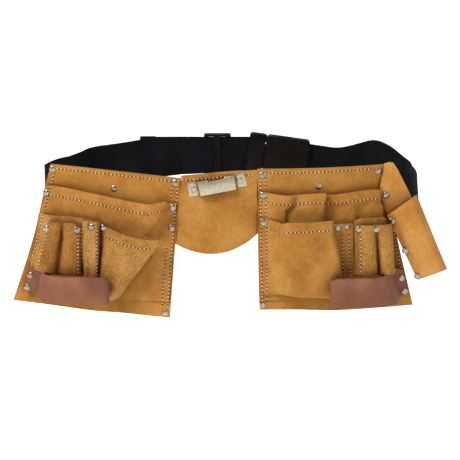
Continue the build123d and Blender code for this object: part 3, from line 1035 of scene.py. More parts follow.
@dataclass
class WebbingBelt:
    """Webbing round the waist, with its slide adjuster, its doubled tail and its side-release buckle."""

    height: float = 57.0
    thick: float = 2.4
    step: float = 3.0
    rows: int = 15
    turn_flare: float = 6.5
    inward_lean: float = 19.0
    slack_share: float = 0.05
    corners: tuple[Knot, ...] = (
        (-69.8, -101.1, 100.0), (38.8, -101.1, 100.0), (276.0, -67.8, 50.0), (276.0, 48.0, 45.0),
        (236.0, 100.0, 60.0), (-125.0, 100.0, 120.0), (-213.0, 66.0, 45.0), (-277.0, -72.0, 16.0),
    )
    front_top: tuple[Spot, ...] = (
        (-286, 18), (-262, 25.6), (-70, 9.8), (39, 22.8), (233, 22.8), (262, 12), (285, -1)
    )
    back_top: tuple[Spot, ...] = (
        (-286, 18), (-262, 21), (-213, 23.7), (-127, 30), (-98, 33), (44, 33), (98, 24.9), (168, 15.1),
        (196, 21), (227, 31), (249, 21), (262, 12), (285, -1),
    )
    open_from: float = 43.5
    open_to: float = 102.5
    buckle: Plot = field(
        default_factory=lambda: Plot(
            Vector((53.0, 100.0, 2.5)),
            Vector((math.cos(math.radians(8)), 0, -math.sin(math.radians(8)))),
            Vector((-math.sin(math.radians(8)), 0, -math.cos(math.radians(8)))),
            Vector((0, -1, 0)),
        )
    )

    def band(self, finish: Finishes) -> Piece:
        """Model the band: hung from its top edge, rippled where nothing holds it, flared where it turns."""
        line = rounded(self.corners, self.step)
        behind = (line[:, 1] > 90) & (line[:, 0] < self.open_from)
        first = int(np.argmax(np.where(behind, line[:, 0], -1e9)))
        line = np.roll(line, -first, axis=0)
        line = line[~((line[:, 1] > 90) & (line[:, 0] > self.open_from) & (line[:, 0] < self.open_to))]
        x, y = line[:, 0], line[:, 1]
        top = np.where(y < 0, np.interp(x, *zip(*self.front_top)), np.interp(x, *zip(*self.back_top)))
        window = np.exp(-((np.arange(-9, 10) / 4.0) ** 2))
        top = np.convolve(np.pad(top, 9, mode="edge"), window / window.sum(), mode="valid")
        tangent = np.gradient(line, axis=0)
        tangent /= np.linalg.norm(tangent, axis=1)[:, None]
        outward = np.stack([tangent[:, 1], -tangent[:, 0]], axis=1)
        run = np.arange(len(line)) * self.step
        # the front is threaded through the leather, and the buckle end is pulled flat
        free = np.clip((y + 20) / 50, 0, 1) * np.clip((np.abs(x - 30) - 55) / 40, 0, 1)
        ripple = free * (
            1.7 * np.sin(run / 19.0) + 1.0 * np.sin(run / 8.3 + 1.0) + 0.8 * np.sin(run / 33.0 + 2.0)
        )
        turn = np.exp(-(((x - 290) / 34) ** 2)) * np.exp(-(((y + 20) / 55) ** 2))
        # behind the left pouch the lower edge sags in towards it
        lean = np.clip((x + 178) / 30, 0, 1) * np.clip((-76 - x) / 30, 0, 1) * (y > 60)
        t = np.linspace(0, 1, self.rows)[:, None]
        push = turn * self.turn_flare * t**1.2 - lean * self.inward_lean * t + ripple * (
            0.35 + 0.65 * np.sin(t * math.pi * 0.9 + 0.2)
        )
        push = push + free * 0.9 * np.sin(run / 12.0 + t * 2.2) + self.thick / 2
        slack = 1 + self.slack_share * np.exp(-(((x + 88) / 45) ** 2)) * (y > 60)
        places = np.stack(
            [x + outward[:, 0] * push, y + outward[:, 1] * push, top - self.height * slack * t], axis=2
        )
        piece = grid_piece("webbing_band", places * MM)
        finish_with(piece, "SOLIDIFY", thickness=self.thick * MM, offset=-1.0)
        finish_with(
            piece, "BEVEL", width=0.6 * MM, segments=2, limit_method="ANGLE", angle_limit=math.radians(50)
        )
        dress(piece, finish.webbing)
        smooth(piece, 50)
        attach(piece, "belt")
        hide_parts("belt_webbing")
        return piece

    def tail(self, finish: Finishes) -> Piece:
        """Model the tail that comes back from the adjuster, its end folded over; the stitching that holds the
        fold is not modelled.
        """
        knots = []
        for z in (32.5, 19.0, 4.5, -10.0, -23.5):
            row = []
            for x in np.linspace(33, -137, 60):
                lift = 103.6 + 0.5 * math.sin(x / 17.0) * np.clip((10 - x) / 30, 0, 1)
                row.append((x, lift, z))
            for x, y in ((-138.6, 104.6), (-137, 105.7), (-127, 105.8), (-118, 105.6), (-117, 105.0)):
                row.append((x, y, z))
            knots.append(row)
        net = run_through(np.array(knots), np.linspace(0, 4, 13))
        piece = grid_piece("webbing_tail_end", net * MM)
        finish_with(piece, "SOLIDIFY", thickness=1.9 * MM, offset=-1.0)
        dress(piece, finish.webbing)
        smooth(piece, 50)
        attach(piece, "belt")
        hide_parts("webbing_tail")
        return piece

    def hardware(self, finish: Finishes) -> list[Piece]:
        """Model the adjuster and the buckle's moulded parts."""
        made = []
        for node, body, width in (
            ("tri_glide", "adjuster", 1.2),
            ("buckle_male_frame", "belt", 1.0),
            ("buckle_prong_upper", "prong_upper", 0.9),
            ("buckle_prong_lower", "prong_lower", 0.9),
            ("buckle_female", "buckle_catch", 1.3),
        ):
            piece = copy_node(node + "_moulding", node, width, 3)
            if node == "buckle_female":
                ribs = [
                    block(
                        f"rib{n}", self.buckle, (48 + 4 * n, -20, -7.5), (50 + 4 * n, 20, -6.6), 0.4, 1
                    ) for n in range(4)
                ]
                piece = fuse(piece.name, [piece, *ribs])
            if node == "buckle_male_frame":
                plate = block("tongue_plate", self.buckle, (-2, -19.2, -2.2), (4, 19.2, 2.2), 0.4, 1)
                lugs = [
                    block(f"shoulder{n}", self.buckle, (-2, low, -6), (0.1, low + 7.2, 6), 0.4, 1)
                    for n, low in enumerate((-34.2, 27.0))
                ]
                piece = fuse(piece.name, [piece, plate, *lugs])
            dress(piece, finish.plastic)
            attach(piece, body)
            made.append(piece)
        return made


# ---- leather pieces ----------------------------------------------------------------------------
def fold_rows(front: float, back: float, drop: float) -> list[tuple[float, float]]:
    """Return the (v, w) profile of leather that comes up behind the webbing and turns over its top edge."""
    middle = (front + back) / 2
    return [
        (drop, back), (drop * 0.5, back), (5.2, back), (1.5, back + 1.0), (0.0, middle),
        (1.4, front - 1.0), (5.0, front),
    ]


@dataclass
class HungPanel:
    """A suede panel folded over the webbing: one hide, from the strip behind it to the bottom edge."""

    name: str
    hanger: str
    body: str
    nodes: tuple[str, ...]
    edges: Sequence[Sequence[Knot]]
    fold_from: float
    fold_to: float
    seed: float
    front: float = 2.4
    back: float = -6.2
    thick: float = 2.4
    pitch: float = 2.0

    def build(self, plot: Plot, finish: Finishes) -> Piece:
        """Model the panel.

        Args:
            plot: the plane it hangs in.
            finish: the belt's finishes.

        Returns:
            The finished piece.
        """
        top = np.array(self.edges[0], float)
        rows = []
        for v, w in fold_rows(self.front, self.back, 67.0):
            row = top.copy()
            row[:, 1] += v
            row[:, 2] = w
            rows.append(row)
        net = rows + [np.array(edge, float) for edge in self.edges[1:]]
        sheet = Sheet(self.name, net, thick=self.thick, pitch=self.pitch, uneven=0.0)
        places = sheet.laid()
        piece = grid_piece(self.name, plot.many(places), plot.mirrored())
        local = plot.local(corners_of(piece))

        def beyond_fold(polygon: bpy.types.MeshPolygon) -> bool:
            """Tell whether a face belongs to the fold but lies past its ends."""
            u, v, w = local[list(polygon.vertices)].mean(axis=0)
            return w < self.back / 2 + 0.6 and v < 69 and not self.fold_from < u < self.fold_to

        pick(piece, beyond_fold)
        bpy.ops.mesh.delete(type="FACE")
        bpy.ops.object.mode_set(mode="OBJECT")
        self.soften(piece, plot)
        finish_with(
            piece,
            "SOLIDIFY",
            thickness=self.thick * MM,
            offset=-1.0,
            material_offset_rim=1,
            use_even_offset=False,
        )
        dress(piece, finish.suede, finish.edge)
        smooth(piece, 55)
        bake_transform(piece)
        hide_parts(*self.nodes)
        return piece

    def soften(self, piece: Piece, plot: Plot) -> None:
        """Let the free lower part of the panel wave a little."""
        places = corners_of(piece)
        spots = plot.local(places)
        lift = np.array([noise.noise(Vector((u / 60, v / 60, self.seed))) for u, v, _ in spots])
        grain = np.array([noise.noise(Vector((u / 17, v / 17, self.seed + 3))) for u, v, _ in spots])
        free = np.clip((spots[:, 1] - 12) / 60, 0, 1) * (spots[:, 2] > 0)
        out = np.array(plot.out)
        put_corners(piece, places + np.outer((lift * 1.6 + grain * 0.35) * free * MM, out))


@dataclass
class Pouch:
    """One hanging pouch: its panel, its pockets, its tool loop, and the thread and rivets that hold them."""

    hand: str
    plot: Plot
    panel: HungPanel
    pockets: dict[str, Sheet]
    rough: tuple[str, ...]
    stands_for: dict[str, tuple[str, ...]]
    seams: Sequence[tuple[Sequence[Spot], Sequence[str]]]
    rivets: Sequence[Spot]
    loop_pivot: Spot
    loop_turn: float
    loop_creases: tuple[float, float]
    loop_size: Spot
    # pockets that take the darker suede copy, which is painted shade
    brown: tuple[str, ...] = ()
    made: dict[str, Piece] = field(default_factory=dict)

    def build(self, finish: Finishes) -> list[Piece]:
        """Model the whole pouch and put each piece but the back panel on its body."""
        body = f"{self.hand}_pouch"
        self.made["panel"] = self.panel.build(self.plot, finish)
        for key, sheet in self.pockets.items():
            # the darker suede copy is painted shade on the pockets listed in brown
            face = finish.brown if key in self.brown else finish.coarse if key in self.rough else finish.suede
            piece = sheet.build(self.plot, face, finish.edge)
            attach(piece, body)
            if key in self.stands_for:
                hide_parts(*self.stands_for[key])
            self.made[key] = piece
        rows = [(line, [self.made[key] for key in keys]) for line, keys in self.seams]
        thread = Stitching(finish.thread, finish.hole).build(f"{self.hand}_pouch_stitching", self.plot, rows)
        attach(thread, body)
        leather = list(self.made.values())
        caps = Rivet().build(f"{self.hand}_pouch_rivets", self.plot, self.rivets, leather)
        dress(caps, finish.nickel)
        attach(caps, body)
        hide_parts(f"{self.hand}_rivets")
        return [*self.made.values(), thread, caps, *self.tool_loop(finish)]

    def tool_loop(self, finish: Finishes) -> list[Piece]:
        """Model the smooth strap that crosses the pouch, folds back and is riveted at its outer end."""
        plot = self.plot.turned(*self.loop_pivot, self.loop_turn if self.plot.mirrored() else -self.loop_turn)
        length, height = self.loop_size
        far = 29.0 + length
        rows = []
        for t in (0.0, 0.12, 0.3, 0.5, 0.7, 0.88, 1.0):
            end = 12.0 - 10.5 * t
            bend = self.loop_creases[0] * (1 - t) + self.loop_creases[1] * t
            sag = math.sin(t * math.pi)
            front = [
                (end, 9.8), (end + (bend - end) * 0.4, 13.5), (end + (bend - end) * 0.74, 32.0),
                (bend, 50.0), (bend + 10, 55.0), (far * 0.55, 57.4 + sag * 0.5),
                (far * 0.72, 55.2 + sag * 0.8), (far - 16, 57.8), (far - 6, 57.4),
            ]
            back = [
                (far - 0.9, 55.0), (far, 51.5), (far - 2.5, 47.4), (far - 24, 46.6), (far * 0.5, 46.6),
                (bend + 4, 41.5), (end + (bend - end) * 0.78, 27.0), (end + (bend - end) * 0.44, 10.6),
                (end + 1.5, 7.2),
            ]
            dip = [-1.2 + 1.6 * math.sin((d - 14) / 34.0) for d, _ in front]
            drop = [5.0 * float(np.clip((27 - d) / 17, 0, 1)) * (1 - t) for d, _ in front]
            across = [(-d, (height + 2) * t - 1 + k + c, w) for (d, w), k, c in zip(front, dip, drop)]
            rows.append(across + [(-d, (height - 3) * t + 1.2, w) for d, w in back])
        strap = Sheet(
            f"{self.hand}_tool_loop_strap",
            rows,
            thick=2.3,
            pitch=2.2,
            uneven=0.25,
            uneven_size=30,
            seed=self.panel.seed,
        )
        piece = strap.build(plot, finish.strap, finish.strap_edge)
        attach(piece, f"{self.hand}_loop")
        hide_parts(f"{self.hand}_tool_loop")
        spots = tuple((-(12.0 - 10.5 * v / height) - 4.5, v) for v in (height * 0.34, height * 0.84))
        caps = Rivet().build(f"{self.hand}_loop_rivet_caps", plot, spots, [piece])
        dress(caps, finish.nickel)
        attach(caps, f"{self.hand}_loop")
        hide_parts(f"{self.hand}_loop_rivets")
        return [piece, caps]


def shifted(row: Sequence[Knot], du: float, dv: float, dw: float) -> list[Knot]:
    """Return a row of knots moved by the same amount."""
    return [(u + du, v + dv, w + dw) for u, v, w in row]


def right_pouch() -> Pouch:
    """Lay out the wearer's left-hand pouch, on +X."""
    panel = HungPanel(
        "right_back_panel_leather",
        "right_hanger",
        "right_pouch",
        ("right_back_panel", "right_belt_tunnel"),
        edges=(
            [(0.3, -0.3, 0), (45, 0.8, 0), (90, 1.2, 0), (140, 0.3, 0), (188, -1.5, 0)],
            [(0.5, 30, 2.4), (48, 30, 2.4), (95, 30, 2.4), (145, 30, 2.4), (193, 30, 2.4)],
            [(1.5, 110, 2.4), (52, 110, 2.4), (103, 110, 2.4), (156, 110, 2.4), (208, 110, 2.6)],
            [(3.5, 190, 2.6), (57, 190, 2.8), (112, 191, 3.0), (170, 191, 3.0), (228, 190, 3.2)],
            [(4.5, 210, 2.6), (60, 212.5, 3.2), (120, 215.5, 3.6), (178, 214.5, 3.6), (234, 212.5, 3.4)],
        ),
        fold_from=14.0,
        fold_to=152.0,
        seed=2.0,
    )
    mouth = [
        (2.5, 32.5, 4.4), (11, 33, 5.4), (16, 33.5, 9), (30, 35.6, 13.5), (46, 37.2, 14.5), (58, 37, 11),
        (66, 36, 13.5), (80, 34.6, 18), (92, 33.4, 21.5), (96.5, 33.6, 21.8), (98.5, 36, 14),
        (100, 39, 8.5), (110, 38.8, 9.5), (124, 36.6, 13), (142, 33.6, 16.5), (162, 31.2, 18.5),
        (174, 31.6, 18), (180.5, 34, 12), (183, 36, 5),
    ]
    middle = [
        (3, 62, 4.4), (11, 62, 5.0), (16, 62, 8), (28, 62, 13), (38, 62, 12.5), (44, 62, 7.5),
        (54, 62, 12), (74, 62, 17), (89, 62, 19.5), (94, 62, 18.5), (96.5, 62, 11), (99, 62, 6.5),
        (112, 62, 7.0), (124, 62, 9.0), (138, 60, 14), (150, 64, 10), (166, 62, 14.5), (181, 62, 14),
        (187, 62, 5),
    ]
    lower = [(u + 0.03 * max(u - 90, 0), 100, min(w, 15.0) * 0.9 + 1.2) for u, _, w in middle]
    base = [(u + 0.20 * max(u - 40, 0), 196, 4.8) for u, _, w in middle]
    rear = Sheet(
        "right_rear_pocket_leather",
        [
            mouth,
            shifted(mouth[:5], 0, 14, -0.3) + [(53, 50, 9.5)] + shifted(mouth[6:], -1.5, 14, -0.8),
            middle,
            lower,
            base,
        ],
        hem=14.5,
        seed=4.0,
    )
    top = [
        (2.5, 70.5, 6.6), (10, 71, 7.2), (16, 72, 11), (25, 74, 19), (31, 75.6, 25), (32.6, 73.5, 32),
        (34.5, 70.8, 38.5), (40, 70.2, 41), (62, 70.6, 42), (86, 69.8, 42.5), (99, 69, 42),
        (103.5, 69.6, 39), (106, 73, 30), (107, 78, 23.5), (112, 80, 20.8), (124, 80, 20.2),
        (137, 80, 20.2),
    ]
    wide = [
        (3, 130, 6.6), (11, 130, 7.2), (17, 130, 13), (24, 130, 22), (29, 130, 30), (32, 130, 36.5),
        (36.5, 130, 41), (44, 130, 41.5), (64, 130, 40), (88, 130, 41), (106, 130, 42), (115, 130, 38),
        (117, 130, 29), (116, 130, 22.5), (119, 130, 20.8), (128, 130, 20.4), (139, 130, 20.4),
    ]
    low = [
        (3.5, 172, 6.6), (12, 172, 7.4), (20, 173, 14), (28, 174, 22), (35, 175, 28), (42, 176, 32),
        (49, 176.5, 34), (57, 177, 34), (74, 178, 33), (94, 179, 34), (110, 180, 36), (119, 180, 33),
        (122, 180, 26), (122, 180, 22), (124, 180, 20.8), (131, 180, 20.2), (140, 180, 20.0),
    ]
    seam = [
        (max(u * 0.96 + 5, u) if u > 12 else u, 183 + 10 * min(u, 110) / 110, 7.4 + 0.035 * u)
        for u, _, _ in low
    ]
    tuck = [(u, v + 3.0, 5.2) for u, v, _ in seam]
    roll = [(a[0] * 0.5 + b[0] * 0.5, b[1] - 2.5, b[2] + (a[2] - b[2]) * 0.66) for a, b in zip(low, seam)]
    front = Sheet(
        "right_front_pocket_leather",
        [
            top,
            shifted(top, 0.6, 14, 0.2),
            [(a[0] * 0.55 + b[0] * 0.45, 104, a[2] * 0.5 + b[2] * 0.5) for a, b in zip(top, wide)],
            wide,
            low,
            roll,
            seam,
            tuck,
        ],
        hem=14.5,
        seed=6.0,
        uneven=0.7,
    )
    slot_top = [
        (138.5, 77, 20.2), (141, 74, 22), (145, 71.5, 27), (152, 70.4, 29.6), (166, 70.2, 30),
        (180, 70, 29.4), (184, 72, 26.5), (186.5, 76, 20.2),
    ]
    slot = Sheet(
        "right_tool_pocket_leather",
        [
            slot_top,
            shifted(slot_top, 0.2, 14, -0.2),
            [(140 + (u - 138.5) * 1.1, 120, w - 0.4) for u, _, w in slot_top],
            [(140 + (u - 138.5) * 1.2, 156, w * 0.8 + 4) for u, _, w in slot_top],
        ],
        hem=0,
        seed=8.0,
    )
    tube_top = [
        (141.5, 80, 24), (143, 79.5, 31), (146, 78.6, 39), (151, 78, 43), (158, 78, 44),
        (163.5, 78.6, 41.5), (167, 79, 38.5), (170.5, 78.6, 41.5), (178, 77.6, 44), (186, 77.4, 43),
        (190.5, 78.2, 38), (191.5, 79, 31),
    ]
    tube_low = [
        (143, 152, 24), (143.5, 152, 31), (146, 152, 38), (152, 152, 42.5), (161, 152, 44), (169, 152, 41),
        (173.5, 152, 33.5), (178, 152, 40.5), (185, 152, 43.5), (192, 152, 42), (197, 152, 36),
        (199, 152, 29),
    ]
    tubes = Sheet(
        "right_tool_tubes_leather",
        [
            tube_top,
            [(u, 90, w) for u, _, w in tube_top[:6]] + [(167.4, 90, 37.0)] + [
                (u + 1, 90, w) for u, _, w in tube_top[7:]
            ],
            [((a[0] + b[0]) / 2, 118, min(a[2], b[2]) + 0.4) for a, b in zip(tube_top, tube_low)],
            tube_low,
        ],
        seed=10.0,
        uneven=0.8,
        uneven_size=15,
    )
    return Pouch(
        "right",
        RIGHT,
        panel,
        {"rear": rear, "front": front, "slot": slot, "tubes": tubes},
        rough=("slot", "tubes"),
        stands_for={
            "rear": ("right_rear_pocket",),
            "front": ("right_front_pocket",),
            "slot": ("right_tool_pocket",),
            "tubes": ("right_tool_tubes",),
        },
        seams=(
            (((13, 5.2), (45, 6.2), (90, 6.6), (140, 5.6), (171, 4.2)), ("panel",)),
            (((4.2, 13), (4.6, 60), (5.4, 130), (7.6, 198)), ("panel", "rear", "front")),
            (((12.2, 13), (12.4, 60), (12.8, 130), (14.4, 196)), ("panel", "rear", "front")),
            (((15, 47.2), (30, 49.4), (46, 51), (52, 50.5), (65, 49.6), (80, 48.2), (94, 47.0)), ("rear",)),
            (((100, 52), (110, 52.4), (124, 50.2), (142, 47.2), (162, 44.8), (178, 46)), ("rear",)),
            (
                ((13, 84.6), (25, 87.6), (31, 89), (33, 86), (36, 84), (62, 84.2), (86, 83.4), (103, 82.8)),
                ("front",),
            ),
            (((121, 97), (122, 130), (126, 160)), ("front",)),
            (((131.5, 97), (132.5, 130), (135, 160)), ("front",)),
            (((144.4, 90), (145.6, 120), (146, 150)), ("tubes",)),
            (((188, 12), (196, 60), (208, 130), (224, 200)), ("panel",)),
        ),
        rivets=(
            (8, 8), (177, 8), (8, 37), (9, 77), (8, 203), (89, 27), (114, 85), (128, 84), (167, 84),
            (141.5, 85),
        ),
        loop_pivot=(226.0, 153.0),
        loop_turn=0.0,
        loop_creases=(50.0, 30.0),
        loop_size=(96.0, 41.0),
    )


def left_pouch() -> Pouch:
    """Lay out the wearer's right-hand pouch, on -X."""
    panel = HungPanel(
        "left_back_panel_leather",
        "left_hanger",
        "left_pouch",
        ("left_back_panel", "left_belt_tunnel"),
        edges=(
            [(0.3, 0.2, 0), (45, 0.4, 0), (90, 0.6, 0), (140, 0.6, 0), (192, 1.0, 0)],
            [(0.5, 30, 2.4), (48, 30, 2.4), (97, 30, 2.4), (147, 30, 2.4), (197, 30, 2.4)],
            [(1.0, 110, 2.4), (52, 110, 2.4), (104, 110, 2.4), (157, 110, 2.4), (211, 110, 2.6)],
            [(1.0, 190, 2.6), (57, 190, 2.8), (114, 191, 3.0), (173, 191, 3.0), (231, 191, 3.2)],
            [(1.0, 211, 2.6), (60, 211.5, 3.2), (120, 214, 3.6), (180, 213.5, 3.6), (237, 213, 3.4)],
        ),
        fold_from=14.0,
        fold_to=152.0,
        seed=12.0,
    )
    mouth = [
        (3, 35, 4.4), (9, 36, 5.2), (13.5, 37.5, 12), (13.0, 33, 22), (14.5, 30.5, 27), (24, 32.4, 26.5),
        (34, 37, 22), (44, 39.6, 19), (64, 38.6, 18.5), (92, 36, 18.5), (125, 32.8, 18), (155, 30.8, 15),
        (178, 30.4, 9.5), (188, 30.8, 5.8), (196, 31, 4.6),
    ]
    hem = shifted(mouth, 0, 14, -0.3)
    hem[2:6] = [(18, 50, 11), (18.5, 47, 20), (20.5, 45, 25.5), (28, 47, 25.5)]
    middle = [
        (3, 66, 4.4), (10, 66, 5), (19, 66, 8), (25, 66, 17), (27.5, 66, 23), (34, 66, 24.5), (42, 66, 22),
        (52, 66, 19), (68, 66, 18), (94, 66, 18), (127, 66, 17.5), (158, 66, 14.5), (182, 66, 9.0),
        (193, 66, 5.6), (201, 66, 4.6),
    ]
    lower = [(u * 1.02 + (8 if 15 < u < 40 else 0), 96, min(w, 15.5)) for u, _, w in middle]
    deep = [(u * 1.06, 150, min(w * 0.8, 10) + 1) for u, _, w in middle]
    base = [(u * 1.1, 186 + 8 * min(u, 90) / 90, 5.0) for u, _, w in middle]
    rear = Sheet("left_rear_pocket_leather", [mouth, hem, middle, lower, deep, base], hem=14.5, seed=14.0)
    top = [
        (44, 86, 20.6), (30, 86, 24), (18, 85.6, 32), (13.5, 84.6, 37.5), (16, 84.2, 40), (28, 85, 42),
        (44, 85, 43), (60, 83.6, 42.5), (76, 81, 39), (90, 78.8, 32), (99, 78, 25), (106, 78, 20.8),
    ]
    under = [
        (50, 100, 20.6), (38, 100, 24), (27, 100, 31), (23.0, 99.5, 36.5), (25.5, 99, 39.5),
        (36, 99.4, 42), (50, 99.6, 43), (64, 98, 42.5), (78, 96, 39.5), (91, 94, 33), (100, 93, 26),
        (106.5, 92, 20.8),
    ]
    half = [
        (66, 140, 18.6), (58, 140, 22), (51, 140, 27), (48.6, 140, 31.5), (51, 140, 34), (58, 140, 38),
        (67, 140, 41.5), (77, 140, 40), (87, 140, 37), (97, 140, 32), (104, 140, 26), (107, 140, 20.8),
    ]
    low = [
        (84, 178, 14), (79, 178, 17), (73.5, 178, 20), (71.6, 178, 23), (73.6, 178, 25.5), (78, 178, 29),
        (84, 178, 31.5), (90, 178, 31), (96, 178, 29.5), (102, 178, 26), (106, 178, 22), (109, 178, 19),
    ]
    seam = [(u * 0.35 + 60, 194, 6.5 + 0.12 * (w - 14)) for u, _, w in low]
    front = Sheet(
        "left_front_pocket_leather",
        [top, under, half, low, seam],
        hem=14.5,
        seed=16.0,
        uneven=0.8,
        uneven_size=18,
    )
    slot_top = [
        (107.5, 74, 20.2), (108.5, 72, 25), (113, 70.6, 28.6), (130, 68.6, 30), (152, 68, 30),
        (172, 69.6, 28), (188, 71.4, 22), (196, 73, 12), (202, 74.5, 6.6),
    ]
    slot = Sheet(
        "left_tool_pocket_leather",
        [
            slot_top,
            shifted(slot_top, 0.4, 14, -0.2),
            [(107.5 + (u - 107.5) * 1.06, 120, w - 0.4) for u, _, w in slot_top],
            [(107.5 + (u - 107.5) * 1.12, 158, w * 0.8 + 3) for u, _, w in slot_top],
        ],
        seed=18.0,
        uneven=0.7,
    )
    tube_top = [
        (133.5, 78, 29.8), (134.5, 77, 35), (138, 75, 41), (146, 73.4, 44), (155, 74.2, 43),
        (160, 76.4, 38.5), (164, 75.2, 42), (171, 75.2, 44), (178, 77, 42.5), (182.5, 78.6, 36),
        (183.5, 80, 29.6),
    ]
    tube_low = [
        (130.5, 152, 29.4), (131.5, 152, 35), (136, 152, 41), (146, 152, 44), (157, 152, 41),
        (164, 152, 33), (170, 152, 40.5), (180, 152, 44), (190, 152, 41), (195.5, 152, 34), (197, 152, 27),
    ]
    tubes = Sheet(
        "left_tool_tubes_leather",
        [
            tube_top,
            [(u, 88, w - (1.5 if n == 5 else 0)) for n, (u, _, w) in enumerate(tube_top)],
            [((a[0] + b[0]) / 2, 114, min(a[2], b[2]) + 0.4) for a, b in zip(tube_top, tube_low)],
            tube_low,
        ],
        seed=20.0,
        uneven=1.0,
        uneven_size=15,
    )
    strip_top = [
        (109, 71, 29.6), (110.5, 70.4, 33), (115, 70, 35.5), (122, 70, 33.5), (129, 70.6, 35),
        (134.5, 71, 32), (135.5, 71.4, 29.8),
    ]
    strip = Sheet(
        "left_pencil_strip_leather",
        [
            strip_top,
            [(u - 1, 95, w) for u, _, w in strip_top],
            [(u - 2.5 - 0.06 * (u - 109), 125, w - 0.4) for u, _, w in strip_top],
            [(u - 2.0 - 0.25 * (u - 109), 156, w - 1.5) for u, _, w in strip_top],
        ],
        seed=22.0,
        uneven=0.4,
        uneven_size=12,
        grooves=(((122, 72), (119, 154)),),
    )
    return Pouch(
        "left",
        LEFT,
        panel,
        {"rear": rear, "front": front, "slot": slot, "tubes": tubes, "strip": strip},
        rough=("front", "slot", "tubes", "strip"),
        stands_for={
            "rear": ("left_rear_pocket",),
            "front": ("left_front_pocket",),
            "slot": ("left_tool_pocket",),
            "tubes": ("left_tool_tubes",),
            "strip": ("left_pencil_slots",),
        },
        seams=(
            (((14, 5.2), (90, 5.6), (184, 6.0)), ("panel",)),
            (((4.2, 13), (4.6, 60), (5.0, 130), (5.0, 198)), ("panel", "rear")),
            (((12.2, 13), (12.2, 30)), ("panel",)),
            (((12.6, 100), (13.2, 150), (13.6, 198)), ("panel", "rear")),
            (((195, 14), (204, 60), (218, 130), (231, 196)), ("panel", "rear", "slot")),
            (((185, 14), (194, 60), (207, 130), (214, 152)), ("panel", "rear", "slot")),
            (
                (
                    (21, 45.2), (28, 47.0), (36, 51.4), (44, 53.6), (64, 52.6), (92, 50), (125, 46.8),
                    (155, 44.8), (190, 44.6),
                ),
                ("rear",),
            ),
            (
                ((25, 98.5), (36, 98.8), (50, 98.6), (64, 97), (78, 94.6), (91, 92.6), (102, 91.5)),
                ("front",),
            ),
            (((133, 80), (131.5, 115), (128.5, 152)), ("strip",)),
            (((111, 80), (109.5, 115), (107.5, 152)), ("strip",)),
            (((182, 90), (187, 115), (194, 150)), ("tubes", "slot")),
            (((137, 84), (135.6, 115), (133.5, 150)), ("tubes",)),
        ),
        rivets=(
            (8, 7.5), (188, 7.5), (8, 43), (8, 74), (8, 204.5), (96, 26), (195, 43), (184, 87), (138, 82),
            (119, 77.5), (105, 80),
        ),
        loop_pivot=(224.0, 156.0),
        loop_turn=4.0,
        loop_creases=(46.0, 38.0),
        loop_size=(108.0, 38.0),
        # the tubes take the darker suede copy, painted shade
        brown=("tubes",),
    )


# ---- centre and hammer holder ------------------------------------------------------------------
@dataclass
class CentrePanel:
    """The shaped panel between the pouches, with its pressed clip for a tape measure."""

    plot: Plot = CENTRE

    def build(self, finish: Finishes) -> list[Piece]:
        """Model the panel, its stitching, the clip and its rivets."""
        half = 54.7
        crown = ((-54.7, -3.4), (-40, -3.0), (-20, -2.4), (0, -2.0), (24, -1.2), (40, 0.6), (54.7, 1.4))
        edges = [[(u, float(np.interp(u, *zip(*crown))), 0) for u in np.linspace(-half, half, 9)]]
        for share in (0.25, 0.5, 0.72, 0.9, 1.0):
            # it all but meets the pouches above, and slips behind them lower down
            tuck = float(np.clip((share - 0.5) / 0.22, 0, 1))
            left = -half - 21.4 * share - 1.6 * tuck
            right = half - 11.2 * share + 2.0 * tuck
            row = []
            for t in np.linspace(0, 1, 9):
                bottom = 94.5 + 21.5 * math.sin(t * math.pi) ** 0.85
                belly = 2.6 + 4.2 * math.sin(t * math.pi) * share - 3.8 * tuck * abs(2 * t - 1) ** 4
                row.append((left + (right - left) * t, bottom * share, belly))
            edges.append(row)
        panel = HungPanel(
            "centre_panel_leather",
            "belt",
            "centre",
            ("centre_panel", "centre_belt_tunnel"),
            edges,
            fold_from=-42.0,
            fold_to=42.0,
            seed=30.0,
        )
        piece = panel.build(self.plot, finish)
        rows = [(((-51, 3.4), (-20, 4.2), (24, 5.2), (50, 7.2)), [piece])]
        thread = Stitching(finish.thread, finish.hole).build("centre_panel_stitching", self.plot, rows)
        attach(thread, "centre")
        clip = copy_node("tape_clip_pressing", "tape_clip_bracket", 0.5, 2)
        caps = copy_node("tape_clip_rivet_caps", "tape_clip_rivets", 0.6, 3)
        for made in (clip, caps):
            dress(made, finish.steel)
            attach(made, "centre")
        return [piece, thread, clip, caps]


